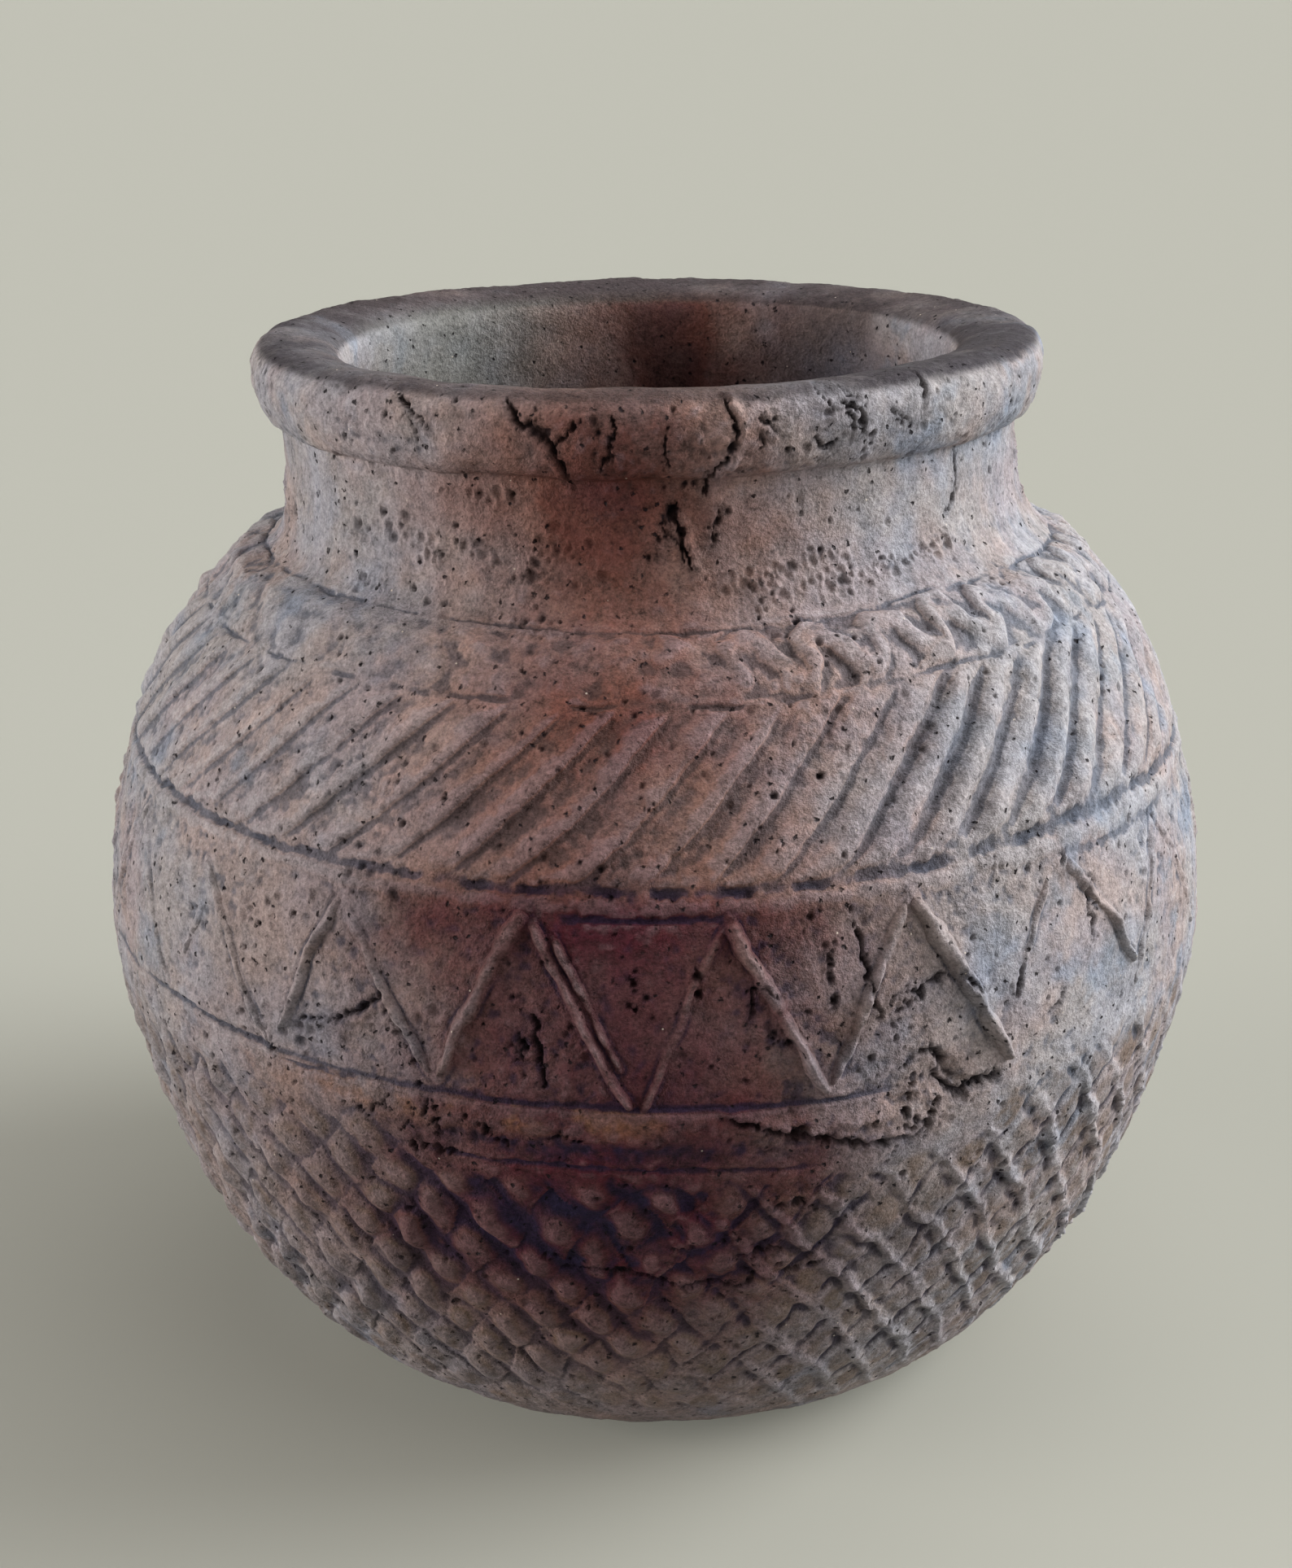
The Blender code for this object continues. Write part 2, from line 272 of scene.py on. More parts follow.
# %% [markdown]
# The lower body carries the print of a net: two sets of strands cross and leave lozenge-shaped hollows.
# On the real jar one set is bolder, strands fade in and out, and the rows wander, so the pattern is bent by
# noise and not stamped from one tile.

# %% Tools for the net marks
def rows_of(*names):
    """The rows from the first named stretch to the last."""
    return slice(first_row[names[0]], last_row[names[-1]] + 1)


def from_line(phase):
    """Distance to the nearest whole number."""
    return np.abs((phase + 0.5) % 1 - 0.5)


def mesh_chance(falling_phase, rising_phase, number):
    """A chance from 0 to 1 for each mesh of the net, the same on both sides of the seam."""
    right, left = np.floor(falling_phase), np.floor(rising_phase)
    turns = ((right + left) % (2 * NET_CELLS)) * 12.9898 + (right - left) * 78.233 + number * 37.719
    wave = np.sin(turns) * 43758.5453
    return wave - np.floor(wave)


print("net helpers ready")

# %% [markdown]
# Two numbers count the crossing strands, those that fall to the right and those that rise. Each is whole on a
# strand. Noise makes the strands wander, and every mesh between them gets its own chance to tilt and swell.

# %% Strands and meshes of the net
NET_CELLS, NET_PITCH = 60, 15.0
net = rows_of("heel", "band")
net_points = plain[net]
wander_across, wander_up = (
    0.2 * solid_noise(net_points, 24, seed)
    + 0.1 * solid_noise(net_points, 9, seed + 1)
    + 0.05 * solid_noise(net_points, 3.6, seed + 2)
    for seed in (5, 63)
)
across = AZIMUTH[None, :] / 360 * NET_CELLS + wander_across
upward = (ARC[net, None] - ARC[first_row["heel"]]) / NET_PITCH + wander_up
falling, rising = across + upward, across - upward
tip_across, tip_up = mesh_chance(falling, rising, 1) - 0.5, mesh_chance(falling, rising, 2) - 0.5
fullness = 0.65 + 0.6 * mesh_chance(falling, rising, 3)
tilt = 0.7 * tip_across * (falling % 1 - 0.5) + 0.7 * tip_up * (rising % 1 - 0.5)
front_net = ease(100, 60, np.abs(AZIMUTH))
ridged = front_net * ease(-6, 16, AZIMUTH) + (1 - front_net) * (0.5 + 0.5 * np.sin(np.radians(2 * AZIMUTH)))
ridged = np.clip(ridged[None, :] + 0.3 * solid_noise(net_points, 20, 9), 0, 1)
falling_gap = from_line(falling) + 0.05 * solid_noise(net_points, 2.2, 66)
rising_gap = from_line(rising) + 0.05 * solid_noise(net_points, 2.2, 67)
print("ridged share:", ridged.mean().round(2))

# %% [markdown]
# On the left the net was pressed in deep and the clay rose through its meshes as pads. On the right the
# strands left crumbly ridges round flat facets, with pockets and seams beside them. Both are made, then
# blended.

# %% Pads on the left, ridges on the right
groove = ease(0.22, 0.0, falling_gap)
swell_across, swell_up = 0.5 - 0.5 * np.cos(2 * np.pi * falling), 0.5 - 0.5 * np.cos(2 * np.pi * rising)
dome = np.sqrt(swell_across * swell_up)
pads = 1.35 * fullness * swell_across**0.9 * (0.4 + 0.6 * swell_up**0.9) + 1.2 * tilt
bold = np.clip(0.75 + 0.5 * solid_noise(net_points, 9, 95) - 0.12 * np.cos(2 * np.pi * rising), 0.2, 1.1)
faint = np.clip(0.35 + 0.6 * solid_noise(net_points, 9, 96), 0.0, 0.9)
net_crumbs = solid_noise(net_points, 1.5, 101)
bold_strand = bold * np.exp(-((falling_gap / 0.14) ** 2))
faint_strand = 0.6 * faint * np.exp(-((rising_gap / 0.11) ** 2))
cords = np.maximum(bold_strand, faint_strand)
seam_off = (rising + 0.12 + 0.05 * net_crumbs + 0.5) % 1 - 0.5
seam = np.exp(-(seam_off / 0.07) ** 2) * ease(-0.35, 0.2, solid_noise(net_points, 6, 102))
pocket = ease(0.60, 0.76, falling % 1) * ease(0.97, 0.84, falling % 1)
pocket = pocket * ease(-0.3, 0.5, solid_noise(net_points, 4, 99))
facets = 0.9 * cords * (1 + 0.4 * net_crumbs) + 0.5 * dome - 0.4 * pocket - 0.4 * seam + 0.9 * tilt
print("ridges from", facets.min().round(2), "to", facets.max().round(2))

# %% [markdown]
# In front the net stops at the plain strip, and at the sides it climbs higher. It is shallow near the foot
# and worn at the sides. Its depth scales the forms above. Pockets and seams are darkened with dirt and
# painted shade, and the ridges' tops are made pale for wear and as painted highlight.

# %% Depth of the net, its dirt and painted shade
net_level = LEVEL[net, None]
plain_front = ease(-27, -19, AZIMUTH) * ease(35, 28, AZIMUTH)
side_top = 85.0 + 4.5 * ease(-20, 30, AZIMUTH)
net_top = (BAND_FOOT * plain_front + side_top * (1 - plain_front))[None, :]
net_top = net_top + 1.6 * solid_noise(net_points, 12, 97)
net_depth = 1.7 * ease(2.0, 34.0, net_level) * ease(net_top + 0.4, net_top - 5.0, net_level)
net_depth = net_depth * (0.6 + 0.45 * ease(-0.5, 0.4, solid_noise(net_points, 20, 68)))
net_depth = net_depth * (1 - 0.35 * ease(74, 84, net_level))
low_front = np.exp(-((AZIMUTH / 26) ** 2))[None, :] * ease(56, 48, net_level)
worn_sides = np.exp(-(((np.abs(AZIMUTH) - 80) / 24) ** 2))[None, :]
net_depth = net_depth * (1 - 0.3 * low_front) * (1 - 0.5 * worn_sides)
woven = ridged * (facets - 0.5) + (1 - ridged) * 1.1 * (pads - 0.7)
lift[net] += net_depth * (woven + 0.15 * solid_noise(net_points, 5, 69) + 0.03 * net_crumbs)
net_cell = np.zeros((ROWS, COLUMNS))
mesh_tone = 0.5 + 0.5 * mesh_chance(falling, rising, 4)
net_cell[net] = ease(0.25, 0.7, dome) * ease(0.0, 0.6, net_depth) * mesh_tone
crossing = np.zeros((ROWS, COLUMNS))
brittle = (0.6 * cords + 0.5 * pocket) * ridged + 0.5 * groove * (1 - ridged)
crossing[net] = np.clip(brittle, 0, 1) * ease(0.2, 0.8, net_depth)
# Ridge tops on the right are made pale, for wear and as painted highlight; pockets and seams are darkened
# with dirt and painted shade.
rubbed_and_highlit = np.zeros((ROWS, COLUMNS))
rubbed_and_highlit[net] = np.clip(cords, 0, 1) * ridged * ease(0.2, 0.9, net_depth)
net_dirt_and_shade = np.maximum(0.08 * groove**2 * (1 - ridged), np.maximum(0.7 * pocket, 0.85 * seam) * ridged)
soot[net] = np.maximum(soot[net], net_dirt_and_shade * ease(0.3, 0.9, net_depth))
print("net of", NET_CELLS, "cells round the belly")

# %% [markdown]
# Above the belly run a plain strip, the bed of the zigzag rolls and the leaning ribs that fingers pressed.
# Lines were incised between them. The line at the ribs' feet vanishes where it crosses a rib, so it reads as
# dashes. Each line is pressed into the skin's points, because a real groove holds real shadow; the groove is
# also darkened with dirt and painted shade.


# %% Incised lines
LINE_RING, PATCH_RING = 95, 90


def incise(level, width, depth, share, dark=0.8):
    """A line pressed round the jar at a level. share(azimuth) from 0 to 1 says how deep it is there."""
    turn = np.radians(AZIMUTH)
    ring = np.stack([np.sin(turn) * LINE_RING, -np.cos(turn) * LINE_RING, turn * 0 + level], -1)
    wobble = 0.7 * solid_noise(ring, 16, 11) + 0.35 * solid_noise(ring, 5, 12)
    where = np.interp(level, LEVEL[OUTSIDE], ARC[OUTSIDE])
    near = np.abs(ARC - where) < 4 * width + 2
    near[rim_crown:] = False
    ragged = solid_noise(plain[near], 1.8, 70)
    wide = width * (1 + 0.35 * solid_noise(ring, 6, 71))[None, :]
    off = np.abs(ARC[near, None] - where - wobble[None, :]) / wide + 0.7 * ragged
    cut = ease(1.25, 0.25, off) * share(AZIMUTH)[None, :]
    lift[near] -= depth * cut
    # The groove is darkened with dirt and painted shade.
    soot[near] = np.maximum(soot[near], dark * cut * (0.8 + 0.3 * ragged))


def broken(size, seed, low, high):
    """A share that fades in and out round the jar."""

    def share(azimuth):
        turn = np.radians(azimuth)
        ring = np.stack([np.cos(turn) * PATCH_RING, np.sin(turn) * PATCH_RING, turn * 0], -1)
        return ease(low, high, solid_noise(ring, size, seed))

    return share


RIB_COUNT, RIB_TURN, RIB_PHASE, RIB_MIDDLE = 60, 0.61, -1.9, 136


def between_ribs(azimuth):
    """Deep between two rib feet and gone across a foot."""
    foot = RIB_PHASE + RIB_TURN * (RIB_FOOT - RIB_MIDDLE) + 0.9 * (broken(11, 72, -0.5, 0.5)(azimuth) - 0.5)
    share = ((azimuth - foot) / 360 * RIB_COUNT) % 1
    worn_line = 0.1 + 0.35 * ease(14, 30, np.abs(azimuth))
    dash = worn_line + (1 - worn_line) * ease(0.14, 0.32, share) * ease(0.82, 0.55, share)
    return dash * (0.45 + 0.55 * broken(12, 13, -0.5, 0.15)(azimuth))


def ledge(azimuth):
    """A second short line under the dashes, at the front."""
    return ease(-9, -7, azimuth) * ease(7, 5, azimuth) + 0.5 * broken(22, 14, 0.15, 0.5)(azimuth)


bead = np.exp(-(((outside_level - 124.3 + 0.5 * solid_noise(outside_points, 9, 102)) / 1.1) ** 2))
lift[OUTSIDE] += bead * (0.35 + 0.3 * solid_noise(outside_points, 14, 103))
incise(126.4, 1.0, 0.9, between_ribs, 0.95)
incise(122.4, 0.65, 0.5, ledge, 0.6)
incise(BAND_FOOT + 0.9, 0.6, 0.4, lambda azimuth: ease(-22, -18, azimuth) * ease(16, 10, azimuth), 0.4)
incise(92.4, 0.55, 0.5, lambda azimuth: ease(-60, -52, azimuth) * ease(-36, -38, azimuth), 0.75)
incise(91.2, 0.5, 0.45, lambda azimuth: ease(-36, -34, azimuth) * ease(-26, -28, azimuth), 0.7)
print("incised lines cut")

# %% [markdown]
# The plain strip on the belly stands a little proud of the triangles' bed, so its upper edge catches light.
# A step of half a millimetre is enough; it fades where the jar is worn.

# %% Step above the plain strip
front_edge = ease(-26, -18, AZIMUTH) * ease(24, 15, AZIMUTH)
step_share = np.maximum(front_edge, 0.8 * broken(30, 15, -0.1, 0.35)(AZIMUTH))[None, :]
step_points = plain[OUTSIDE]
step_level = outside_level + 0.25 * solid_noise(step_points, 12, 79) + 0.12 * solid_noise(step_points, 3, 80)
proud = ease(91.9, 91.35, step_level) * ease(84, 88, step_level)
lift[OUTSIDE] += 0.55 * proud * step_share
step_line = ease(0.75, 0.2, np.abs(step_level - 92.05)) * step_share
lift[OUTSIDE] -= 0.15 * step_line
# The crease under the step is darkened with dirt and painted shade.
soot[OUTSIDE] = np.maximum(soot[OUTSIDE], 0.65 * step_line)
print("step over", round(float(step_share.mean() * 100)), "percent of the way round")

# %% [markdown]
# Fingers pressed the shoulder into leaning ribs. They could be swept one by one, but sixty even sweeps would
# look machined. Here each point's share of a rib, bent by noise, gives its height: saw-edged on the left and
# round on the right, as worn ribs and fresh ones are.

# %% Leaning ribs on the shoulder
shoulder = rows_of("shoulder")
shoulder_level = LEVEL[shoulder, None]
shoulder_points = plain[shoulder]
RIB_DRIFTS = ((0.12, 24, 17), (0.05, 8, 18), (0.025, 2.5, 73))
rib_drift = sum(size * solid_noise(shoulder_points, cell, seed) for size, cell, seed in RIB_DRIFTS)
rib_turn = AZIMUTH[None, :] - RIB_PHASE - RIB_TURN * (shoulder_level - RIB_MIDDLE)
rib_share = (rib_turn / 360 * RIB_COUNT + rib_drift) % 1
saw = ease(0.2, 0.86, rib_share) * ease(1.0, 0.84, rib_share)
roll = (0.5 - 0.5 * np.cos(2 * np.pi * rib_share**0.85)) ** 0.75
turn_noise = broken(70, 19, -0.35, 0.35)(AZIMUTH)
front_share = ease(80, 60, np.abs(AZIMUTH))
fat = front_share * ease(6, 30, AZIMUTH) * (1 - 0.5 * ease(48, 64, AZIMUTH)) + (1 - front_share) * turn_noise
worn = front_share * ease(-20, -45, AZIMUTH) + (1 - front_share) * 0.5 * (1 - turn_noise)
uneven = 0.45 + 0.9 * ease(-0.5, 0.5, solid_noise(shoulder_points, 12, 74))
calm = np.exp(-(((AZIMUTH - 3) / 17) ** 2))[None, :]
rib_height = (1 - fat) * saw * 1.15 + fat * (roll - 0.4) * 1.9
rib_height = rib_height * uneven * (1 - 0.5 * worn) * (1 - 0.3 * calm)
rib_ends = ease(RIB_FOOT, RIB_FOOT + 3.2, shoulder_level) * ease(RIB_TOP + 0.4, RIB_TOP - 3.0, shoulder_level)
lift[shoulder] += rib_height * rib_ends
from_rib = np.abs((rib_share + 0.5) % 1 - 0.5) + 0.05 * solid_noise(shoulder_points, 1.8, 75)
rib_line = ease(0.10, 0.0, from_rib) * rib_ends
rib_dirt_and_shade = ease(-0.3, 0.6, solid_noise(shoulder_points, (9, 9, 12), 20)) * (0.6 - 0.3 * worn)
lift[shoulder] -= 0.2 * rib_line * (1 - 0.6 * worn) * (1 - 0.6 * calm)
# The rib lines are darkened, unevenly, with dirt and painted shade.
soot[shoulder] = np.maximum(soot[shoulder], rib_line * (0.03 + 0.4 * rib_dirt_and_shade) * (1 - 0.6 * calm))
print("ribs:", RIB_COUNT)

# %% [markdown]
# The collar is a strip laid over the joint of neck and shoulder and stamped with a running scroll of lobes.
# It is crisp on the right and nearly rubbed away on the left.

# %% Stamped scroll on the collar
collar = rows_of("collar")
collar_points = plain[collar]
LOBE_COUNT = 42
collar_arc = ARC[collar, None]
collar_middle, collar_half = (collar_arc[0] + collar_arc[-1]) / 2, (collar_arc[-1] - collar_arc[0]) / 2
strip = (collar_arc - collar_middle) / collar_half
lobe_drift = 0.14 * solid_noise(collar_points, 14, 21) + 0.08 * solid_noise(collar_points, 5, 76)
around = AZIMUTH[None, :] / 360 * LOBE_COUNT + lobe_drift + 0.13 * np.sin(np.pi * strip)
wave = 0.62 * np.sin(2 * np.pi * around + 0.5 * np.sin(2 * np.pi * around))
off_wave = np.abs(strip - wave) / np.hypot(1, 1.5 * np.cos(2 * np.pi * around))
off_wave = off_wave + 0.10 * solid_noise(collar_points, 2.4, 77)
rope = np.clip(1 - (off_wave / 0.5) ** 2, 0, 1) ** 0.8


def knobs(shift, height):
    """A row of round knobs where the scroll turns."""
    along = (around - shift) % 1 - 0.5
    return np.sqrt(np.clip(1 - (along / 0.27) ** 2 - ((strip - height) / 0.5) ** 2, 0, 1))


lobes = np.maximum(rope, np.maximum(knobs(0.70, 0.5), knobs(0.20, -0.5)))
crisp = front_share * ease(-12, 28, AZIMUTH) * 0.8 + (1 - front_share) * (0.35 + 0.4 * turn_noise) + 0.15
crisp = crisp * (0.5 + 0.8 * ease(-0.4, 0.4, solid_noise(collar_points, 13, 92)))
collar_fade = ease(-1.0, -0.8, strip) * ease(1.0, 0.85, strip)
lift[collar] += (1.1 * crisp * (lobes - 0.5) + 0.6 * solid_noise(collar_points, 4.5, 78)) * collar_fade
collar_line = broken(11, 22, -0.25, 0.3)
incise(LEVEL[last_row["collar"]] - 0.1, 0.55, 0.5, lambda azimuth: 0.2 + 0.8 * collar_line(azimuth), 0.7)
incise(RIB_TOP + 0.1, 0.55, 0.5, broken(9, 23, -0.15, 0.3), 0.65)
print("scroll of", LOBE_COUNT, "pairs of lobes")

# %% [markdown]
# Firing and burial opened cracks and pits. Each crack of the photograph is given as a few points, as azimuth
# in degrees and level in millimetres, and chance makes its edge ragged. The mesh itself is cut, so a crack
# holds real shadow, and black is painted into cracks and pits as shade as well.


# %% Tools that cut cracks and pits
def window(azimuths, levels, margin):
    """Rows and columns near some points on the outside, as index arrays."""
    arcs = np.interp(levels, LEVEL[OUTSIDE], ARC[OUTSIDE])
    rows_near = np.flatnonzero((ARC > np.min(arcs) - margin) & (ARC < np.max(arcs) + margin))
    middle = float(np.mean(azimuths))
    reach = np.max(np.abs(apart(np.asarray(azimuths), middle))) + np.degrees(margin / RADIUS[rows_near].min())
    columns_near = np.flatnonzero(np.abs(apart(AZIMUTH, middle)) < reach)
    return rows_near, columns_near, middle


def flat(rows_near, columns_near, middle):
    """Millimetres across and up the unrolled skin for that window."""
    return (
        np.radians(apart(AZIMUTH[columns_near], middle))[None, :] * RADIUS[rows_near, None],
        ARC[rows_near, None] + 0 * AZIMUTH[columns_near][None, :],
    )


def ragged_path(path, amount):
    """The path with its segments halved three times and the new points moved at random."""
    points = np.array(path, float)
    for _ in range(3):
        middle = (points[1:] + points[:-1]) / 2
        middle += random.normal(0, amount, middle.shape) * (0.5, 1.0)
        amount *= 0.55
        merged = np.empty((len(points) * 2 - 1, 2))
        merged[::2], merged[1::2] = points, middle
        points = merged
    return points


print("window helpers ready")

# %% [markdown]
# A pit is a small bowl. Noise bends its edge, its middle is painted black as shade, a ring at its edge is
# darkened with dirt and painted shade, and where a blister burst a ring of clay stands round it.


# %% Cut a pit
def pit(azimuth, level, radius, depth=0.8, dark=1.0, ring=0.0):
    """A round pit, with a raised ring where a blister burst."""
    rows_near, columns_near, middle = window([azimuth], [level], radius * 2.5 + 0.5)
    x, y = flat(rows_near, columns_near, middle)
    place = np.ix_(rows_near, columns_near)
    distance = np.hypot(x, y - np.interp(level, LEVEL[OUTSIDE], ARC[OUTSIDE])) / radius
    distance = distance + 0.5 * solid_noise(plain[place], 1.3 * radius + 0.3, 83)
    lift[place] -= depth * np.clip(1 - distance**2, 0, 1)
    lift[place] += ring * np.exp(-(((distance - 1.2) / max(0.3, 0.34 / radius)) ** 2))
    # The middle is painted black as shade, and a ring at the edge is darkened with dirt and painted shade.
    black[place] = np.maximum(black[place], dark * ease(0.95, 0.35, distance))
    soot[place] = np.maximum(soot[place], 0.3 * dark * np.exp(-(((distance - 0.85) / 0.3) ** 2)))


print("pit tool ready")

# %% [markdown]
# A crack is cut by distance from its ragged path: every point near it sinks, the more the closer it lies. Its
# width swells along the way, one lip may stand higher, and a few pits are strewn beside it.


# %% Cut a crack
def crack(path, width=0.45, depth=1.2, dark=1.0, amount=0.5, lip=0.0):
    """Cuts a crack along (azimuth, level) points; lip raises the clay on its left as seen along the path."""
    points = ragged_path(path, amount)
    rows_near, columns_near, middle = window(points[:, 0], points[:, 1], 4.0)
    x, y = flat(rows_near, columns_near, middle)
    path_y = np.interp(points[:, 1], LEVEL[OUTSIDE], ARC[OUTSIDE])
    path_x = np.radians(apart(points[:, 0], middle)) * np.interp(path_y, ARC, RADIUS)
    best = np.full(x.shape, 1e9)
    side = np.zeros(x.shape)
    away = np.full(x.shape, 1e9)
    count = len(points) - 1
    for step in range(count):
        dx, dy = path_x[step + 1] - path_x[step], path_y[step + 1] - path_y[step]
        ahead = (x - path_x[step]) * dx + (y - path_y[step]) * dy
        share = np.clip(ahead / (dx * dx + dy * dy + 1e-9), 0, 1)
        off_x, off_y = x - path_x[step] - share * dx, y - path_y[step] - share * dy
        swell = 0.2 + 0.36 * math.sin(math.pi * (step + 0.5) / count) ** 0.6
        swell *= math.exp(random.normal(-0.15, 0.5))
        gap = np.hypot(off_x, off_y)
        closer = gap < away
        side = np.where(closer, np.sign(dx * off_y - dy * off_x), side)
        away = np.minimum(away, gap)
        best = np.minimum(best, gap / (width * swell))
    place = np.ix_(rows_near, columns_near)
    best = best + 0.75 * solid_noise(plain[place], 0.9, 81) + 0.6 * solid_noise(plain[place], 2.4, 82)
    best = np.clip(best, 0, None)
    lift[place] -= depth * ease(1.25, 0.2, best)
    lift[place] += 0.10 * np.exp(-((away / 1.6) ** 2)) * solid_noise(plain[place], 1.6, 93)
    if lip:
        lift[place] += abs(lip) * np.exp(-(((away - 0.9) / 0.9) ** 2)) * (np.sign(lip) * side > 0)
    patchy = 0.85 + 0.3 * solid_noise(plain[place], 2, 98)
    # The crack is painted black as shade, and its banks are darkened with dirt and painted shade.
    black[place] = np.maximum(black[place], dark * ease(1.1, 0.4, best) * patchy)
    soot[place] = np.maximum(soot[place], 0.3 * dark * ease(1.5, 0.4, away))
    for _ in range(count // 4):
        spot = points[random.integers(len(points))] + random.normal(0, 1, 2) * (0.5, 0.9)
        pit(spot[0], min(spot[1], RIM_TOP - 1), random.uniform(0.22, 0.5), 0.5, 0.9, 0.08)


print("crack tool ready")

# %% [markdown]
# The zigzag is a row of thin clay rolls, pressed on in pairs that lean together like tent poles.
# Those in front follow lines measured on the photograph. The others stand where an even zigzag puts them,
# shaken a little.

# %% The lines of the rolls
TRIANGLES, TRIANGLE_PHASE = 21, -1.4
HALF_TRIANGLE = 180 / TRIANGLES
measured_rolls = {
    "rise_01": [(-19.0, 94.6), (-16.6, 105.5), (-13.8, 116.5), (-11.8, 123.3)],
    "fall_01": [(-11.0, 121.6), (-9.7, 117.5), (-6.0, 104.6), (-2.1, 91.6)],
    "doubled": [(-9.0, 119.4), (-8.2, 116.8), (-4.5, 103.8), (-2.9, 98.7)],
    "rise_02": [(-1.3, 91.4), (1.0, 102.7), (3.2, 112.7), (5.6, 120.8)],
    "fall_02": [(6.1, 122.3), (9.5, 111.4), (13.3, 97.2), (14.6, 93.2)],
    "rise_03": [(15.0, 94.6), (17.2, 104.2), (19.0, 111.0), (22.2, 122.2)],
    "fall_03": [(23.2, 122.6), (26.5, 112.7), (28.2, 107.6), (30.5, 99.3), (32.6, 92.4)],
    "rise_04": [(32.6, 96.1), (34.2, 108.0), (38.6, 120.8)],
    "fall_04": [(41.0, 122.0), (43.7, 117.4), (46.2, 111.4), (48.6, 104.6), (50.6, 99.6)],
    "rise_21": [(-34.9, 96.6), (-34.1, 101.2), (-32.7, 109.8), (-30.8, 116.7), (-29.4, 121.0)],
    "fall_21": [(-28.8, 120.3), (-26.4, 113.6), (-23.8, 105.9), (-21.7, 100.9), (-19.7, 95.1)],
    "fall_20": [(-47.4, 119.4), (-43.5, 111.2), (-40.2, 101.6), (-37.2, 92.8)],
    "rise_20": [(-49.6, 101.0), (-48.4, 105.5), (-46.4, 113.6)],
}
roll_sizes = {
    "rise_01": (2.1, 1.5), "fall_01": (1.6, 1.1), "doubled": (1.2, 0.6), "rise_02": (1.3, 0.9),
    "fall_02": (1.9, 1.6), "rise_03": (1.7, 1.2), "fall_03": (2.4, 2.0), "rise_04": (1.3, 0.6),
    "fall_04": (1.7, 1.2), "rise_21": (1.7, 1.2), "fall_21": (1.6, 0.9), "fall_20": (1.5, 0.8),
    "rise_20": (1.3, 0.4),
}
rolls = {}
for number in range(1, TRIANGLES + 1):
    left = TRIANGLE_PHASE + (2 * number - 4) * HALF_TRIANGLE
    apex, right = left + HALF_TRIANGLE, left + 2 * HALF_TRIANGLE
    for leg, foot, top in (("rise", left, apex - 0.5), ("fall", right, apex + 0.5)):
        name = f"{leg}_{number:02d}"
        shake = random.normal(0, 0.5, (3, 2))
        line = [
            (foot + shake[0, 0], 94.5),
            ((foot + top) / 2 + shake[1, 0], 108.5),
            (top + shake[2, 0], 121.5 + shake[2, 1]),
        ]
        if leg == "fall":
            line = line[::-1]
        rolls[name] = measured_rolls.get(name, line)
        faint = 0.4 if abs(apart(foot, 0)) < 110 else 1.0
        roll_sizes.setdefault(name, (random.uniform(1.4, 2.1), faint * random.uniform(0.7, 1.5)))
rolls["doubled"] = measured_rolls["doubled"]
print("rolls:", len(rolls))


# %% [markdown]
# A roll was smeared onto the wall, so the wall swells a little under it, and both its edges are darkened with
# dirt and painted shade.
# The roll alone would look glued on. A bed in the wall makes the joint soft.

# %% Bed of the rolls
MM_PER_DEGREE, ROLL_STEP = 1.85, 0.5


def unrolled(points):
    """Arc and azimuth along a smooth line through (azimuth, level) points, about half a millimetre apart."""
    points = np.array(points, float)
    arcs = np.interp(points[:, 1], LEVEL[OUTSIDE], ARC[OUTSIDE])
    share = np.concatenate([[0], np.cumsum(np.hypot(np.diff(arcs), np.diff(points[:, 0]) * MM_PER_DEGREE))])
    dense = np.linspace(0, share[-1], max(8, int(share[-1] / ROLL_STEP)))
    arc, azimuth = np.interp(dense, share, arcs), np.interp(dense, share, points[:, 0])
    for _ in range(30):
        arc[1:-1] = (arc[:-2] + 2 * arc[1:-1] + arc[2:]) / 4
        azimuth[1:-1] = (azimuth[:-2] + 2 * azimuth[1:-1] + azimuth[2:]) / 4
    spots = np.stack([azimuth * MM_PER_DEGREE, arc, arc * 0], 1)
    return arc, azimuth + 0.30 * solid_noise(spots, 7, 90) + 0.12 * solid_noise(spots, 3, 91)


def roll_bed(name):
    """Swells the wall along a roll and darkens the wall beside it with dirt and painted shade."""
    half_width, height = roll_sizes[name]
    arc, azimuth = unrolled(rolls[name])
    rows_near = np.flatnonzero((ARC > arc.min() - 6) & (ARC < arc.max() + 6))
    middle = float(azimuth.mean())
    columns_near = np.flatnonzero(np.abs(apart(AZIMUTH, middle)) < np.ptp(azimuth) / 2 + 5)
    x, y = flat(rows_near, columns_near, middle)
    path_x = np.radians(apart(azimuth, middle)) * np.interp(arc, ARC, RADIUS)
    distance = np.full(x.shape, 1e9)
    for step in range(len(arc)):
        distance = np.minimum(distance, np.hypot(x - path_x[step], y - arc[step]))
    place = np.ix_(rows_near, columns_near)
    patchy = ease(-0.5, 0.4, solid_noise(plain[place], 9, 41))
    lift[place] += 0.28 * height * np.exp(-((distance / (1.25 * half_width)) ** 2))
    edge = np.exp(-(((distance - half_width * 0.75) / 0.42) ** 2))
    lift[place] -= 0.22 * edge * patchy
    soot[place] = np.maximum(soot[place], 0.42 * edge * patchy)


for name in rolls:
    roll_bed(name)
print("beds ready")

# %% [markdown]
# The belly cracked most. The sound form is kept first, because dirt, wear and their painted shade and
# highlight follow it and not the damage.
# Then each crack is cut where the photograph has it, and chains of small pits are strewn where the clay
# crumbled. A list of cuts is easier to correct than a sculpted mesh.


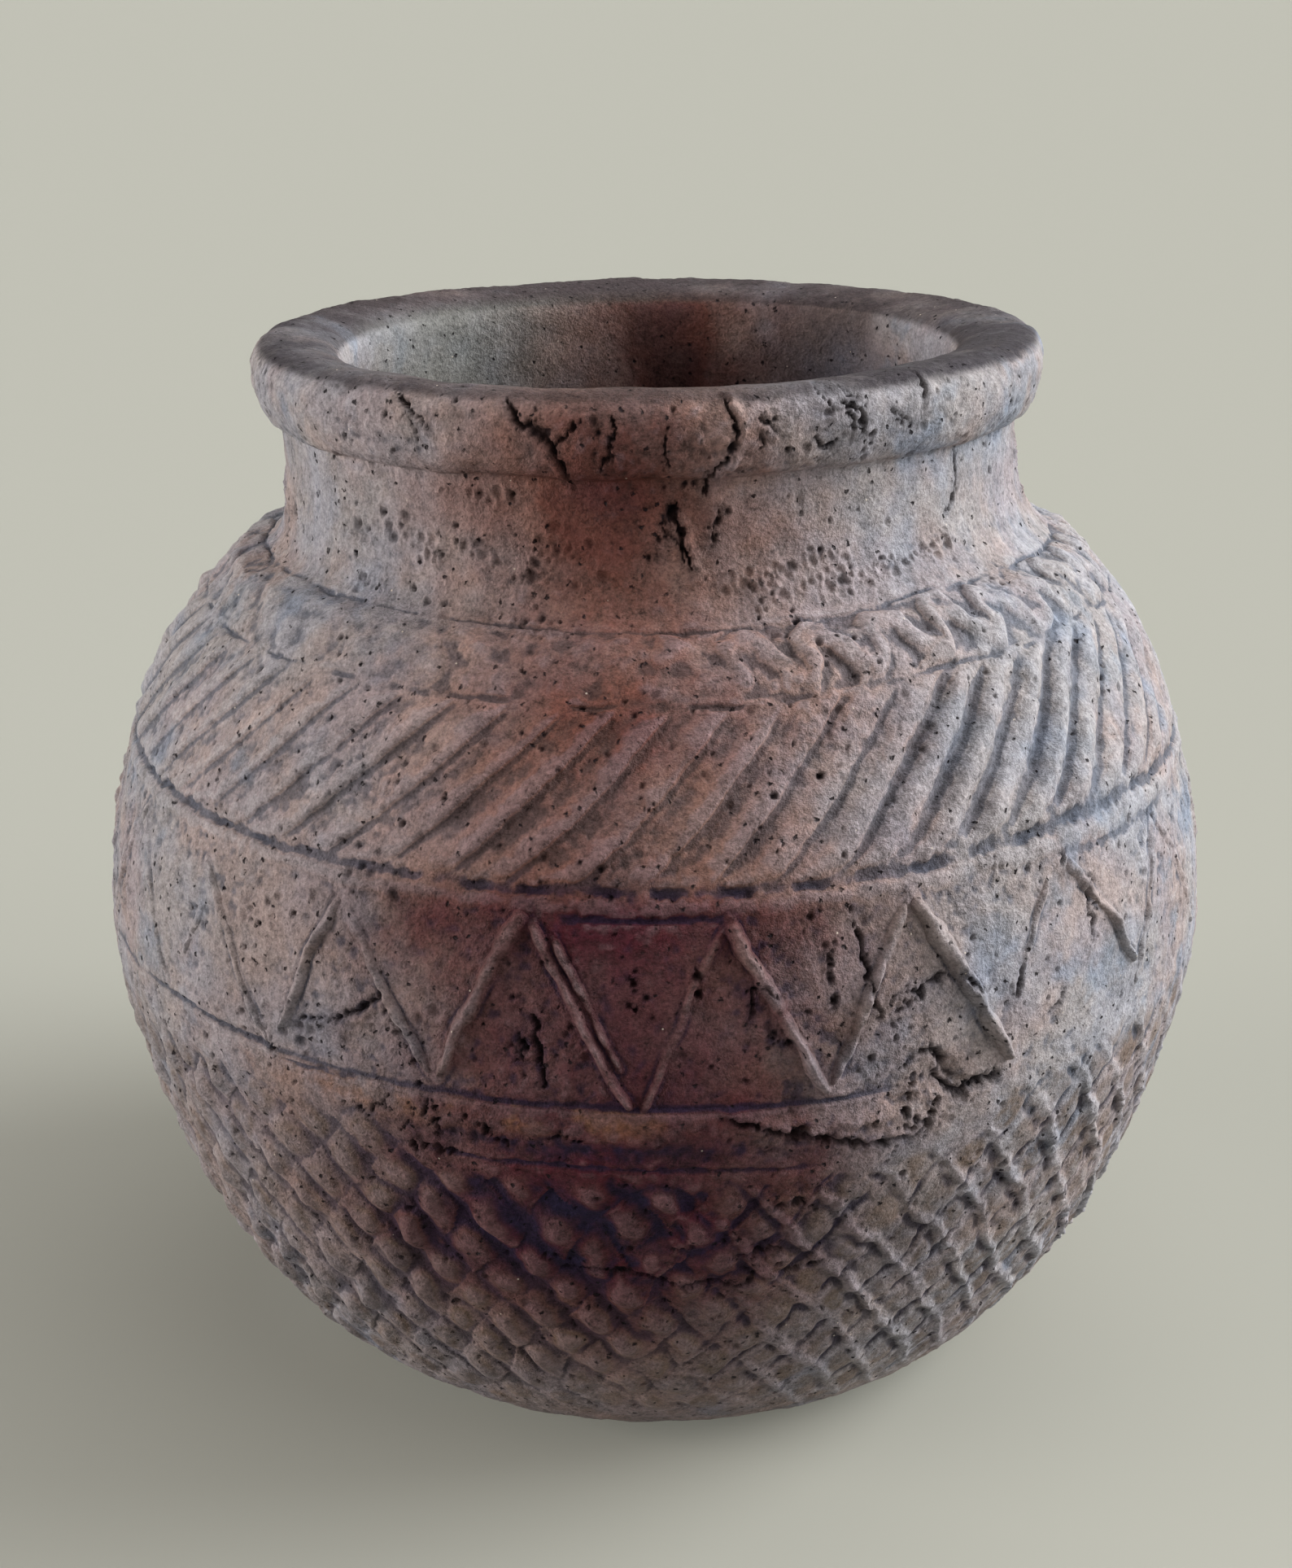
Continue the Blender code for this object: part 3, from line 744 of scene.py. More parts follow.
# %% Cracks of the belly and shoulder
def pit_chain(path, count, size=0.45):
    """Small pits strewn along a line of (azimuth, level) points."""
    points = ragged_path(path, 0.4)
    for _ in range(count):
        spot = points[random.integers(len(points))] + random.normal(0, 0.35, 2) * (0.6, 1.0)
        radius = size * math.exp(random.normal(-0.1, 0.4))
        pit(spot[0], spot[1], radius, 1.6 * size, random.uniform(0.5, 1.0), 0.1)


form = lift.copy()
crack([(-10.6, 107.0), (-10.0, 105.1), (-9.9, 102.4), (-9.9, 99.7), (-9.6, 97.1), (-9.5, 95.3)], 0.6, 1.3)
crack([(-11.9, 103.8), (-11.4, 101.6), (-12.0, 99.2)], 0.4, 0.8)
crack([(8.0, 111.6), (8.0, 108.7), (7.8, 107.0)], 0.6, 1.2)
crack([(7.3, 111.0), (10.0, 110.5)], 0.3, 1.0)
crack([(9.5, 105.0), (10.4, 103.1), (11.7, 102.0)], 0.5, 1.0)
long_crack = [(6.2, 90.2), (8.4, 88.7), (10.5, 87.1), (13.4, 85.6)]
long_crack += [(17.5, 83.2), (19.9, 82.3), (22.3, 81.9), (24.7, 84.0)]
crack(long_crack, 1.05, 2.4, amount=0.3, lip=0.8)
pit_chain([(15.2, 117.3), (14.8, 113.4), (15.2, 109.3), (14.7, 106.3)], 26)
crack([(17.2, 122.7), (18.3, 113.7), (18.4, 108.5)], 0.6, 1.3)
crack([(20.1, 107.6), (23.1, 107.6), (24.7, 109.0), (26.9, 108.5)], 0.45, 1.1, amount=0.7)
pit_chain([(23.6, 107.4), (21.8, 106.5), (21.0, 104.2), (20.6, 101.1), (21.2, 98.7)], 20)
pit_chain([(18.2, 112.0), (18.6, 108.0), (19.4, 105.0)], 16)
pit_chain([(27.2, 109.2), (28.3, 107.4), (29.4, 105.6)], 16)
crack([(27.2, 108.9), (28.3, 107.4), (29.3, 106.9)], 0.7, 1.3)
crack([(34.2, 108.8), (33.7, 104.4), (33.5, 102.8)], 0.6, 1.1)
crack([(39.5, 101.4), (37.4, 97.9)], 0.45, 1.0)
crack([(43.4, 117.3), (43.3, 112.0), (43.9, 108.0)], 0.5, 1.0, amount=0.8)
crack([(-33.0, 99.3), (-29.6, 100.5), (-26.8, 102.9), (-25.1, 105.8), (-24.5, 107.0)], 0.6, 1.3, lip=-0.35)
net_crack = [(-9.0, 56.9), (-5.5, 58.0), (-2.8, 57.5), (-0.5, 56.0), (3.3, 54.6), (5.7, 54.1), (8.8, 54.0)]
crack(net_crack, 0.7, 1.6)
crack([(7.0, 60.3), (9.3, 60.8), (11.6, 61.2)], 0.6, 1.3)
crack([(11.5, 55.7), (13.9, 55.9), (15.9, 56.4)], 0.55, 1.2)
crack([(10.0, 71.1), (12.2, 72.2), (14.2, 70.1)], 0.55, 1.1)
crack([(22.0, 96.1), (24.9, 97.3), (24.8, 92.9), (26.9, 88.5), (28.6, 88.9), (31.3, 89.2)], 0.75, 1.4)
pit_chain([(21.6, 95.6), (22.4, 92.0), (21.8, 89.0), (22.0, 86.0)], 24, 0.5)
pit_chain([(25.2, 88.4), (24.4, 85.6), (22.0, 84.2)], 20, 0.6)
pit_chain([(27.2, 88.2), (29.0, 89.6), (31.4, 90.8)], 18, 0.6)
crack([(-26.9, 85.6), (-25.3, 87.2), (-23.9, 87.9), (-23.6, 91.0)], 0.45, 0.9, amount=0.7)
crack([(-19.9, 90.6), (-20.2, 87.5), (-18.7, 83.6)], 0.5, 0.9, amount=0.7)
pit_chain([(-21.8, 80.9), (-20.0, 80.7), (-17.7, 80.8)], 14, 0.7)
pit_chain([(-17.4, 88.2), (-15.6, 88.0), (-14.5, 86.8), (-13.0, 84.0)], 14, 0.55)
pit_chain([(-19.1, 91.0), (-19.4, 87.0), (-19.1, 83.6)], 14, 0.5)
pit_chain([(-8.8, 85.7), (-7.4, 87.5), (-6.0, 85.0)], 10, 0.5)
pit_chain([(-2.1, 115.0), (-2.2, 110.5), (-1.7, 107.8)], 9, 0.5)
pit_chain([(3.4, 115.2), (3.4, 111.4)], 6, 0.7)
pit_chain([(-11.2, 103.5), (-11.8, 101.0), (-11.8, 99.0)], 8, 0.5)
pit_chain([(-24.0, 104.0), (-23.0, 102.0), (-22.0, 99.0), (-20.5, 96.0)], 18, 0.5)
pit_chain([(-37.6, 96.5), (-36.6, 92.4), (-35.6, 90.4)], 14, 0.5)
pit_chain([(40.6, 122.8), (42.6, 120.4), (44.6, 117.6)], 14, 0.5)
pit_chain([(44.6, 114.0), (44.4, 108.0)], 10, 0.5)
print("cracks of the body cut")

# %% [markdown]
# Beside the long crack the skin swells, crumbles and has lost a chip. Soft spots say where, and fine noise
# breaks them up, so the clay looks torn and not dented.


# %% Broken places beside the long crack
def blot(azimuth, level, wide, tall):
    """A soft spot from 0 to 1, with its half width and half height in millimetres, over the whole outside."""
    arc = np.interp(level, LEVEL[OUTSIDE], ARC[OUTSIDE])
    across = np.radians(apart(AZIMUTH, azimuth))[None, :] * RADIUS[OUTSIDE, None] / wide
    return np.exp(-(across**2) - ((ARC[OUTSIDE, None] - arc) / tall) ** 2)


swelling = 1.0 * blot(14.5, 87.8, 8, 1.9) + 0.5 * blot(20.5, 86.0, 6, 2.0)
crumbs = solid_noise(outside_points, 1.7, 88) + 0.5 * solid_noise(outside_points, 0.9, 89)
rough_patch = blot(10, 84.4, 7.0, 2.6) + 0.8 * blot(24.5, 84.5, 6, 2.6) + 0.6 * blot(-1, 82.5, 14, 1.8)
rough_patch += 0.7 * blot(-17, 85.5, 8, 2.5) + 0.5 * blot(19, 192.5, 11, 4.5) + 1.2 * blot(26, 91.0, 6.0, 4.0)
chip = ease(0.45, 0.75, blot(25.2, 93.0, 4.2, 3.8) + 0.9 * blot(28.5, 89.4, 5.5, 1.8) + 0.25 * crumbs)
lift[OUTSIDE] += swelling + rough_patch * (0.5 * crumbs - 0.25) - chip * (0.9 - 0.35 * crumbs)
# Low crumbs in the rough patches and the chip are painted black as shade.
black[OUTSIDE] = np.maximum(black[OUTSIDE], np.clip(rough_patch, 0, 1) * ease(0.35, 0.75, -crumbs) * 0.85)
black[OUTSIDE] = np.maximum(black[OUTSIDE], chip * ease(0.35, 0.8, -crumbs) * 0.6)
print("chip covers", round(float(chip.sum() * FINE * 0.38)), "square millimetres")

# %% [markdown]
# The rim dried faster than the neck under it and split from the top. These cracks are cut with the same tool.
# Most have a lip, since one side stands higher than the other.

# %% Cracks of the neck and rim
crack([(4.0, 182.0), (3.0, 179.4), (4.3, 176.8), (4.9, 173.6), (5.1, 169.7)], 0.6, 1.5, lip=0.5)
crack([(1.5, 178.4), (2.6, 179.5), (4.0, 181.6)], 0.35, 0.6, lip=0.4)
crack([(1.6, 178.2), (3.2, 175.8), (4.5, 172.0)], 0.3, 0.5, lip=0.35)
crack([(8.0, 174.4), (8.4, 176.4), (9.5, 180.9)], 0.35, 0.8, lip=0.3)
crack([(48.9, 185.0), (49.4, 180.5), (48.0, 176.1), (46.7, 174.2)], 0.45, 0.9)
crack([(-17.8, 198.8), (-16.0, 195.4), (-11.9, 192.4), (-10.9, 189.0), (-10.2, 185.6)], 0.8, 1.5, lip=-0.25)
crack([(-8.8, 195.8), (-10.2, 193.2), (-11.4, 192.0)], 0.55, 1.1)
crack([(-4.3, 197.2), (-4.0, 194.0), (-4.6, 190.4), (-6.0, 188.0)], 0.5, 1.0)
rim_crack = [(9.7, 199.4), (11.2, 195.4), (10.4, 191.8), (10.2, 190.0), (7.9, 186.0), (7.3, 183.7)]
crack(rim_crack, 0.7, 1.5, lip=0.55)
crack([(2.5, 195.3), (2.2, 192.0), (2.9, 188.4)], 0.4, 0.7, lip=0.3)
crack([(-36.0, 199.6), (-32.0, 197.6), (-30.8, 195.8)], 0.4, 0.6, lip=-0.2)
crack([(-33.2, 198.6), (-30.0, 195.6), (-28.3, 193.8)], 0.5, 0.7, lip=-0.3)
crack([(-31.6, 196.0), (-30.2, 191.4)], 0.4, 0.7)
crack([(13.8, 196.2), (15.9, 193.8)], 0.4, 0.7, lip=-0.3)
crack([(22.0, 199.8), (23.9, 196.2)], 0.45, 0.7, lip=-0.3)
crack([(25.3, 199.8), (27.7, 198.0)], 0.4, 0.6, lip=-0.25)
crack([(25.0, 197.3), (27.8, 195.8), (28.4, 193.4), (27.9, 191.4)], 0.8, 1.3, amount=0.8)
crack([(25.6, 196.0), (26.7, 192.4)], 0.35, 0.5, lip=0.4)
crack([(32.4, 195.4), (34.0, 194.0), (35.6, 192.4)], 0.45, 0.8)
crack([(38.2, 199.6), (37.9, 195.8)], 0.4, 0.7, lip=0.2)
crack([(21.7, 191.6), (24.8, 190.9)], 0.5, 0.9, amount=0.8)
crack([(14.3, 193.8), (14.6, 191.6)], 0.4, 0.7)
print("cracks of the neck and rim cut")

# %% [markdown]
# Grit and straw burnt out in the fire and left pits all over the outside. Most are small and dark, a few wide
# and shallow. Chance places them from a fixed seed, so the jar is the same on every run.

# %% Pits scattered over the outside
PITS = {"lower_net": 420, "upper_net": 380, "band": 220, "zigzag": 620}
PITS.update(shoulder=460, collar=190, neck=190, rim=230)
for name, number in PITS.items():
    low, high = LEVEL[first_row[name]], min(LEVEL[last_row[name]], RIM_TOP - 1)
    if name == "rim":
        low, high = NECK_TOP, RIM_TOP - 1.5
    for _ in range(number):
        size = 0.40 * math.exp(random.normal(0, 0.35))
        wide = random.random() < 0.14
        size = random.uniform(0.7, 1.15) if wide else size
        dark = random.uniform(0.2, 0.5) if wide else random.uniform(0.4, 1.0)
        depth = 0.4 if wide else 1.2 * size
        azimuth, level = random.uniform(-180, 180), random.uniform(low, high)
        pit(azimuth, level, size, depth, dark, random.uniform(0.03, 0.16))
print("round pits:", sum(PITS.values()))

# %% [markdown]
# Other pits have no round edge, because the skin crumbled away. A threshold on fine noise gives ragged
# patches, painted black as shade. It is lowered along the net's strands, in dirt and painted shade and near
# damage, where the real clay crumbled most.

# %% Ragged pits where the clay crumbled
crumble = solid_noise(outside_points, 13, 84) + 0.6 * solid_noise(outside_points, 5, 85)
crumble += 0.1 * ease(84, 72, outside_level) + 2.2 * crossing[OUTSIDE] + 0.4 * soot[OUTSIDE]
crumble += 1.1 * blot(19, 192.5, 13, 5) + 0.9 * blot(-20, 83, 12, 3)
crumble -= 0.35 * smooth_neck + 0.15 * ease(186, 190, outside_level)
ragged_pit = solid_noise(outside_points, (1.25, 1.25, 1.5), 86) + 0.4 * solid_noise(outside_points, 0.7, 87)
threshold = 0.92 - 0.26 * np.clip(crumble, -0.4, 1.5)
eaten = ease(0.0, 0.16, ragged_pit - threshold)
eaten[: first_row["heel"] + 2] = 0
lift[OUTSIDE] -= 0.65 * eaten
lift[OUTSIDE] += 0.10 * ease(-0.22, -0.02, ragged_pit - threshold) * (1 - eaten)
# The crumbled pits are painted black as shade.
black[OUTSIDE] = np.maximum(black[OUTSIDE], 0.9 * ease(0.2, 0.8, eaten))
print("crumbled share:", round(float(eaten.mean() * 100), 2), "percent")

# %% [markdown]
# Steam raised blisters that burst and left rings in small clusters. Those in front stand where the photograph
# has them and those behind are chance. Each ring keeps off its neighbours, or they would merge to a lump.

# %% Clusters of burst blisters
BLISTERS = [
    (-21.5, 183.5), (-37.6, 174.8), (-32.2, 172.1), (-24.4, 172.1), (-30.2, 162.8), (-43.1, 164.0),
    (-16.5, 161.4), (-12.4, 173.2), (-15.1, 169.5), (-46.0, 172.4), (11.1, 169.0), (16.4, 168.2),
    (22.4, 168.2), (27.3, 165.8), (33.0, 166.6), (14.5, 164.7), (42.1, 168.0), (-29.0, 123.5),
    (-38.0, 115.0), (-22.5, 103.5), (-33.5, 98.0),
]
behind = []
for _ in range(26):
    azimuth = random.uniform(60, 300)
    behind.append((azimuth, random.choice([random.uniform(163, 181), random.uniform(95, 150)])))
for azimuth, level in BLISTERS + behind:
    wide, tall = random.uniform(1.3, 2.8), random.uniform(0.8, 1.5)
    taken = []
    for _ in range(random.integers(10, 20)):
        spot = (azimuth + random.normal(0, wide), level + random.normal(0, tall))
        spot = (spot[0], min(spot[1], 182.5) if level > 160 else spot[1])
        size = random.uniform(0.55, 1.3)
        dark = random.uniform(0.5, 0.9) if random.random() < 0.2 else random.uniform(0.0, 0.1)
        if any(math.hypot((spot[0] - x) * 1.3, spot[1] - y) < 0.8 * (size + other) for x, y, other in taken):
            continue
        taken.append((*spot, size))
        pit(*spot, size, 0.4 * size, dark, 0.22)
print("blister clusters:", len(BLISTERS) + len(behind))

# %% [markdown]
# Recesses are darkened with dirt and painted shade, and crests are made pale for wear and as painted
# highlight.
# "hollow" compares each point with the mean of its surroundings, so it is high in a recess and low on a
# crest.


# %% Hollows
def blurred(field, rows_half, columns_half):
    """Running means over rows and, closed round the jar, over columns."""
    for axis, half in ((0, rows_half), (1, columns_half)):
        pad = [(0, 0), (0, 0)]
        pad[axis] = (half + 1, half)
        wide = np.pad(field, pad, mode="edge" if axis == 0 else "wrap")
        total = np.cumsum(wide, axis=axis)
        size = 2 * half + 1
        far = np.take(total, range(size, total.shape[axis]), axis)
        field = (far - np.take(total, range(total.shape[axis] - size), axis)) / size
    return field


wide_mean = blurred(blurred(form, 6, 7), 6, 7)
near_mean = blurred(blurred(form, 2, 2), 2, 2)
crisp_edges = 1 - 0.6 * (ease(88, 80, LEVEL) * (np.arange(ROWS) < rim_crown))[:, None]
hollow = (wide_mean - form) / 0.55 + crisp_edges * (near_mean - form) / 0.25
hollow = np.clip(hollow - 0.8 * rubbed_and_highlit, -1, 1)
# Dirt and painted shade spread softly round the places where they lie.
bloom = blurred(blurred(soot, 5, 6), 5, 6) * ease(-0.4, 0.5, solid_noise(plain, 11, 37))
soot = np.maximum(soot, np.clip(0.9 * bloom, 0, 0.4))
print("hollow from", hollow.min().round(2), "to", hollow.max().round(2))

# %% [markdown]
# The fire left a dark cloud in front, strongest on the belly, and the same cloud paints the shade of the
# jar's front. It is one soft spot whose middle, width and strength change with the level, bent by noise.
# Behind, the clay is only warmed. Inside, the back wall is red, the inner right is painted darker and bluer
# as shade, and the inner left is pale and greyish. A belt low on the front and the rim's top are painted dark
# as shade.

# %% Smoke of the fire and painted shade
SMOKE_SHADE_LEVELS = [0, 20, 45, 58, 78, 83, 91, 95, 112, 120, 123, 128, 140, 151, 160, 172, 181, 186, 196, 200]
SMOKE_SHADE_STRENGTH = [0.35, 0.45, 0.8, 1, 1, 0.97, 0.95, 0.9, 0.9, 1]
SMOKE_SHADE_STRENGTH += [1, 0.7, 0.66, 0.78, 0.68, 0.76, 0.88, 0.84, 0.75, 0.6]


def smoke_and_shade_at(azimuth, level, points):
    """The fire cloud, with the painted shade of the front, from 0 to 1 at places on the outside."""
    bend = 4 * solid_noise(points, 40, 31) + 4 * solid_noise(points, 14, 32) + 3 * solid_noise(points, 5, 38)
    centre = -2 - 3 * ease(120, 130, level) - 3 * ease(96, 84, level)
    off = apart(azimuth, centre) + bend
    half = 29 + 3 * ease(110, 60, level) - 3 * ease(155, 165, level)
    half = half - 2 * ease(-4, 8, off) * ease(130, 118, level) + 4 * ease(4, -8, off) * ease(128, 118, level)
    cloud = np.exp(-((off / half) ** 2))
    cloud = cloud * np.interp(level, SMOKE_SHADE_LEVELS, SMOKE_SHADE_STRENGTH)
    back = 0.28 + 0.5 * ease(0.05, 0.5, solid_noise(points, 85, 33))
    back = back * ease(85, 130, np.abs(apart(azimuth, 0)))
    return np.maximum(cloud, back)


smoke = smoke_and_shade_at(AZIMUTH[None, :], LEVEL[:, None], plain)
# A belt low on the front is painted dark as shade, most in the hollows.
front_belt_shade_levels = ease(48, 60, LEVEL) * ease(80, 76, LEVEL) + 0.8 * ease(79, 81, LEVEL) * ease(89, 84, LEVEL)
front_belt_shade = np.exp(-((apart(AZIMUTH, -6) / 19) ** 2))[None, :] * front_belt_shade_levels[:, None]
front_belt_shade[rim_crown:] = 0
soot = np.maximum(soot, front_belt_shade * np.clip(0.45 + 0.8 * hollow + 0.55 * solid_noise(plain, 9, 34), 0.0, 0.95))
inside_rows = np.arange(ROWS) > rim_crown
depth_inside = ease(199.5, 196, LEVEL)[:, None] * inside_rows[:, None]
red_back = np.exp(-((apart(AZIMUTH, 174) / 31) ** 2))[None, :]
blue_shaded_side = np.exp(-((apart(AZIMUTH, 138) / 20) ** 2))[None, :] * ease(165, 180, LEVEL)[:, None]
grey_side = np.exp(-((apart(AZIMUTH, 228) / 26) ** 2))[None, :] * ease(150, 172, LEVEL)[:, None]
clouding = solid_noise(plain, 22, 35) + 0.5 * solid_noise(plain, 7, 36)
smoke = smoke * (1 - depth_inside) + depth_inside * np.clip(0.05 + 0.75 * red_back + 0.25 * clouding, 0, 0.9)
# Inside, a little dirt lies everywhere, and the inner right, where the rim shades it, is painted darker and
# bluer as shade.
soot = np.maximum(soot, depth_inside * np.clip(0.05 + 0.25 * clouding + 0.8 * blue_shaded_side, 0, 0.8))
# The rim's top is painted dark as shade.
rim_top_shade = ease(198.0, 199.6, LEVEL + 2.2 * inside_rows)[:, None] * ease(150, 190, LEVEL)[:, None]
soot = np.maximum(soot, rim_top_shade * np.clip(0.95 + 0.35 * clouding, 0.7, 1.0))
print("smoke covers", round(float((smoke > 0.5).mean() * 100)), "percent of the skin")

# %% [markdown]
# Now the relief is added to the plain curve along its outward direction. The real jar isn't true: its
# shoulder rises on the right, and its neck leans and stands off the axis, so the points are moved a few
# millimetres.

# %% Skin points with the relief, the neck's lean and the tilt of the rim
turn = np.radians(AZIMUTH)[None, :]
skin_radius = RADIUS[:, None] + OUT[:, :1] * lift
skin_level = LEVEL[:, None] + OUT[:, 1:] * lift
skin = np.stack([skin_radius * np.sin(turn), -skin_radius * np.cos(turn), skin_level], -1)
RIM_TILT = math.radians(0.6)
SHIFT_LEVELS, SHIFT = [140, 152, 163, 172, 184], [0.0, 0.5, 0.6, -0.9, -1.6]
SLUMP_LEVELS, SLUMP = [121, 128, 164, 176], [0.0, 1.0, 1.0, 0.15]


def settled(points):
    """Points of a jar that sags left, stands higher right and has its neck a little off the body's axis."""
    azimuth = np.degrees(np.arctan2(points[..., 0], -points[..., 1]))
    level = points[..., 2].copy()
    sag = 3.0 * ease(0, 45, azimuth) * ease(105, 52, azimuth)
    sag = sag - 0.5 * ease(-30, -80, azimuth) * ease(-185, -120, azimuth)
    points[..., 2] += sag * np.interp(level, SLUMP_LEVELS, SLUMP)
    points[..., 2] += points[..., 0] * math.tan(RIM_TILT) * ease(160, 186, level)
    points[..., 0] += np.interp(level, SHIFT_LEVELS, SHIFT)
    return points


skin = settled(skin)
skin[..., 2] = np.maximum(skin[..., 2], 0.0)
lining = depth_inside * np.clip(1.1 * grey_side + 0.25 * clouding, 0, 1)
SKIN_FIELDS = {"soot": soot, "black": black, "hollow": hollow}
SKIN_FIELDS.update(smoke=smoke, cell=net_cell, lining=lining)
print("skin spans", np.ptp(skin.reshape(-1, 3), axis=0).round(1), "mm")


# %% [markdown]
# Each ring of clay becomes a closed mesh: its rows of the skin outside, a flat joint face, its rows inside
# and another joint face. The joint faces lie in the wall, where the potter scored and luted the rings.

# %% Make a closed ring from rows of the skin
def grid_object(name, points, fields, outer_rows, closed_rows=True):
    """A mesh of rows by columns that closes round the jar, with its point fields and a map for baking."""
    count, width = points.shape[:2]
    mesh = bpy.data.meshes.new(name)
    mesh.vertices.add(count * width)
    mesh.vertices.foreach_set("co", (points * MM).astype(np.float32).ravel())
    row = np.arange(count if closed_rows else count - 1)[:, None]
    column = np.arange(width)[None, :]
    above, beside = (row + 1) % count, (column + 1) % width
    quads = np.stack(
        [row * width + column, row * width + beside, above * width + beside, above * width + column], -1
    ).reshape(-1, 4)
    mesh.loops.add(quads.size)
    mesh.loops.foreach_set("vertex_index", quads.astype(np.int32).ravel())
    mesh.polygons.add(len(quads))
    mesh.polygons.foreach_set("loop_start", np.arange(0, quads.size, 4, dtype=np.int32))
    mesh.update(calc_edges=True)
    for field, values in fields.items():
        stored = mesh.attributes.new(field, "FLOAT", "POINT")
        stored.data.foreach_set("value", values.astype(np.float32).ravel())
    mesh.shade_smooth()
    ends = np.empty(len(mesh.edges) * 2, np.int32)
    mesh.edges.foreach_get("vertices", ends)
    edge_rows = ends.reshape(-1, 2) // width
    crisp_row = np.zeros(count, bool)
    crisp_row[[0, outer_rows - 1, min(outer_rows, count - 1), count - 1]] = True
    sharp = (edge_rows[:, 0] == edge_rows[:, 1]) & crisp_row[edge_rows[:, 0]] & closed_rows
    mesh.attributes.new("sharp_edge", "BOOLEAN", "EDGE").data.foreach_set("value", sharp)
    quarter = np.minimum((AZIMUTH[None, :] + FRONT_HALF) // 90, 3).astype(int)
    u_low = ((AZIMUTH[None, :] + FRONT_HALF) - 90 * quarter) / 90
    u_high = u_low + (np.diff(np.append(AZIMUTH, AZIMUTH[0] + 360)) / 90)[None, :]
    share = np.zeros(count + 1)
    share[:outer_rows] = np.linspace(0, 1, outer_rows)
    share[outer_rows:] = np.linspace(0, 1, count + 1 - outer_rows)
    high_part = row >= outer_rows - 1
    tall = np.where(high_part, 0.05, 0.2)
    base = np.where(high_part, 0.8, 0.0)
    share_low = np.where(high_part & (row == outer_rows - 1), 0, share[row])
    v_low = base + tall * (quarter + 0.03 + 0.94 * share_low)
    v_high = base + tall * (quarter + 0.03 + 0.94 * share[row + 1])
    u_low = np.broadcast_to(0.01 + 0.98 * u_low, v_low.shape)
    u_high = np.broadcast_to(0.01 + 0.98 * u_high, v_low.shape)
    corners = np.stack([u_low, v_low, u_high, v_low, u_high, v_high, u_low, v_high], -1)
    mesh.uv_layers.new(name="OFBake").data.foreach_set("uv", corners.astype(np.float32).ravel())
    mesh.validate()
    made = bpy.data.objects.new(name, mesh)
    bpy.context.scene.collection.objects.link(made)
    return made


print("mesh helper ready")

# %% [markdown]
# A ring takes its own rows from the skin. Collar and neck overlap, so each is closed by a bed of joint rows
# that lies in the wall between them.


# %% Rings of the wall
def ring(name, outer, inner=(), joint=None):
    """A closed ring: outer stretch names, inner stretch names and, if needed, extra joint rows."""
    places = list(range(first_row[outer[0]], last_row[outer[-1]] + 1))
    outer_rows = len(places)
    if inner:
        places += list(range(first_row[inner[0]], last_row[inner[-1]] + 1))
    points, fields = skin[places], {field: values[places] for field, values in SKIN_FIELDS.items()}
    if joint is not None:
        radius, level = joint[:, :1], joint[:, 1:]
        extra = settled(np.stack([radius * np.sin(turn), -radius * np.cos(turn), level + 0 * turn], -1))
        points = np.concatenate([points, extra])
        clean = np.zeros(extra.shape[:2])
        fields = {field: np.concatenate([values, clean]) for field, values in fields.items()}
    return grid_object(name, points, fields, outer_rows)


collar_bed = body_line(COLLAR_TOP, RIB_TOP, 4.0, 4)
neck_bed = body_line(RIB_TOP, COLLAR_TOP, 4.3, 4)
pieces = {
    "lower_net_ring": ring("lower_net_ring", ["lower_net"], ["lower_net_inside"]),
    "upper_net_ring": ring("upper_net_ring", ["upper_net"], ["upper_net_inside"]),
    "plain_band_ring": ring("plain_band_ring", ["band"], ["band_inside"]),
    "zigzag_ring": ring("zigzag_ring", ["zigzag"], ["zigzag_inside"]),
    "shoulder_ring": ring("shoulder_ring", ["shoulder"], ["shoulder_inside"]),
    "collar_strip": ring("collar_strip", ["collar"], joint=collar_bed),
    "neck_ring": ring("neck_ring", ["neck"], ["bore", "neck_foot_inside"], joint=neck_bed),
    "rim": ring("rim", ["rim"]),
}
for name, piece in pieces.items():
    print(name, len(piece.data.polygons), "faces")

# %% [markdown]
# The foot is a flat pat whose edge turns up into the first ring. It has no hole, so its rows run in to the
# axis under the jar and on the floor inside, and the points that meet there are merged into one.

# %% The foot, a turned-up pat of clay
foot_rows = list(range(last_row["heel"] + 1)) + list(range(first_row["floor_inside"], ROWS))
foot_fields = {field: values[foot_rows] for field, values in SKIN_FIELDS.items()}
foot = grid_object("foot", skin[foot_rows], foot_fields, last_row["heel"] + 1, closed_rows=False)
welded = bmesh.new()
welded.from_mesh(foot.data)
welded.verts.ensure_lookup_table()
for centre in (welded.verts[:COLUMNS], welded.verts[-COLUMNS:]):
    bmesh.ops.pointmerge(welded, verts=centre, merge_co=centre[0].co)
welded.to_mesh(foot.data)
welded.free()
pieces["foot"] = foot
print("foot", len(foot.data.polygons), "faces")

# %% [markdown]
# The rolls themselves are swept along their lines. A roll's section is a low arch whose edges dip under the
# wall, so no gap shows, and its height swells and sinks along its length as a pressed roll does.


# %% Sweep the rolls
def sampled(field, arc, azimuth):
    """A field of the skin read between its points."""
    row = np.clip(np.searchsorted(ARC, arc) - 1, 0, ROWS - 2)
    row_share = (arc - ARC[row]) / (ARC[row + 1] - ARC[row])
    turned = (azimuth + FRONT_HALF) % 360 - FRONT_HALF
    column = np.searchsorted(AZIMUTH, turned, side="right") - 1
    beside = (column + 1) % COLUMNS
    gap = apart(AZIMUTH[beside], AZIMUTH[column])
    share = apart(turned, AZIMUTH[column]) / gap
    low = field[row, column] * (1 - share) + field[row, beside] * share
    high = field[row + 1, column] * (1 - share) + field[row + 1, beside] * share
    return low * (1 - row_share) + high * row_share


print("the skin can be read between its points")

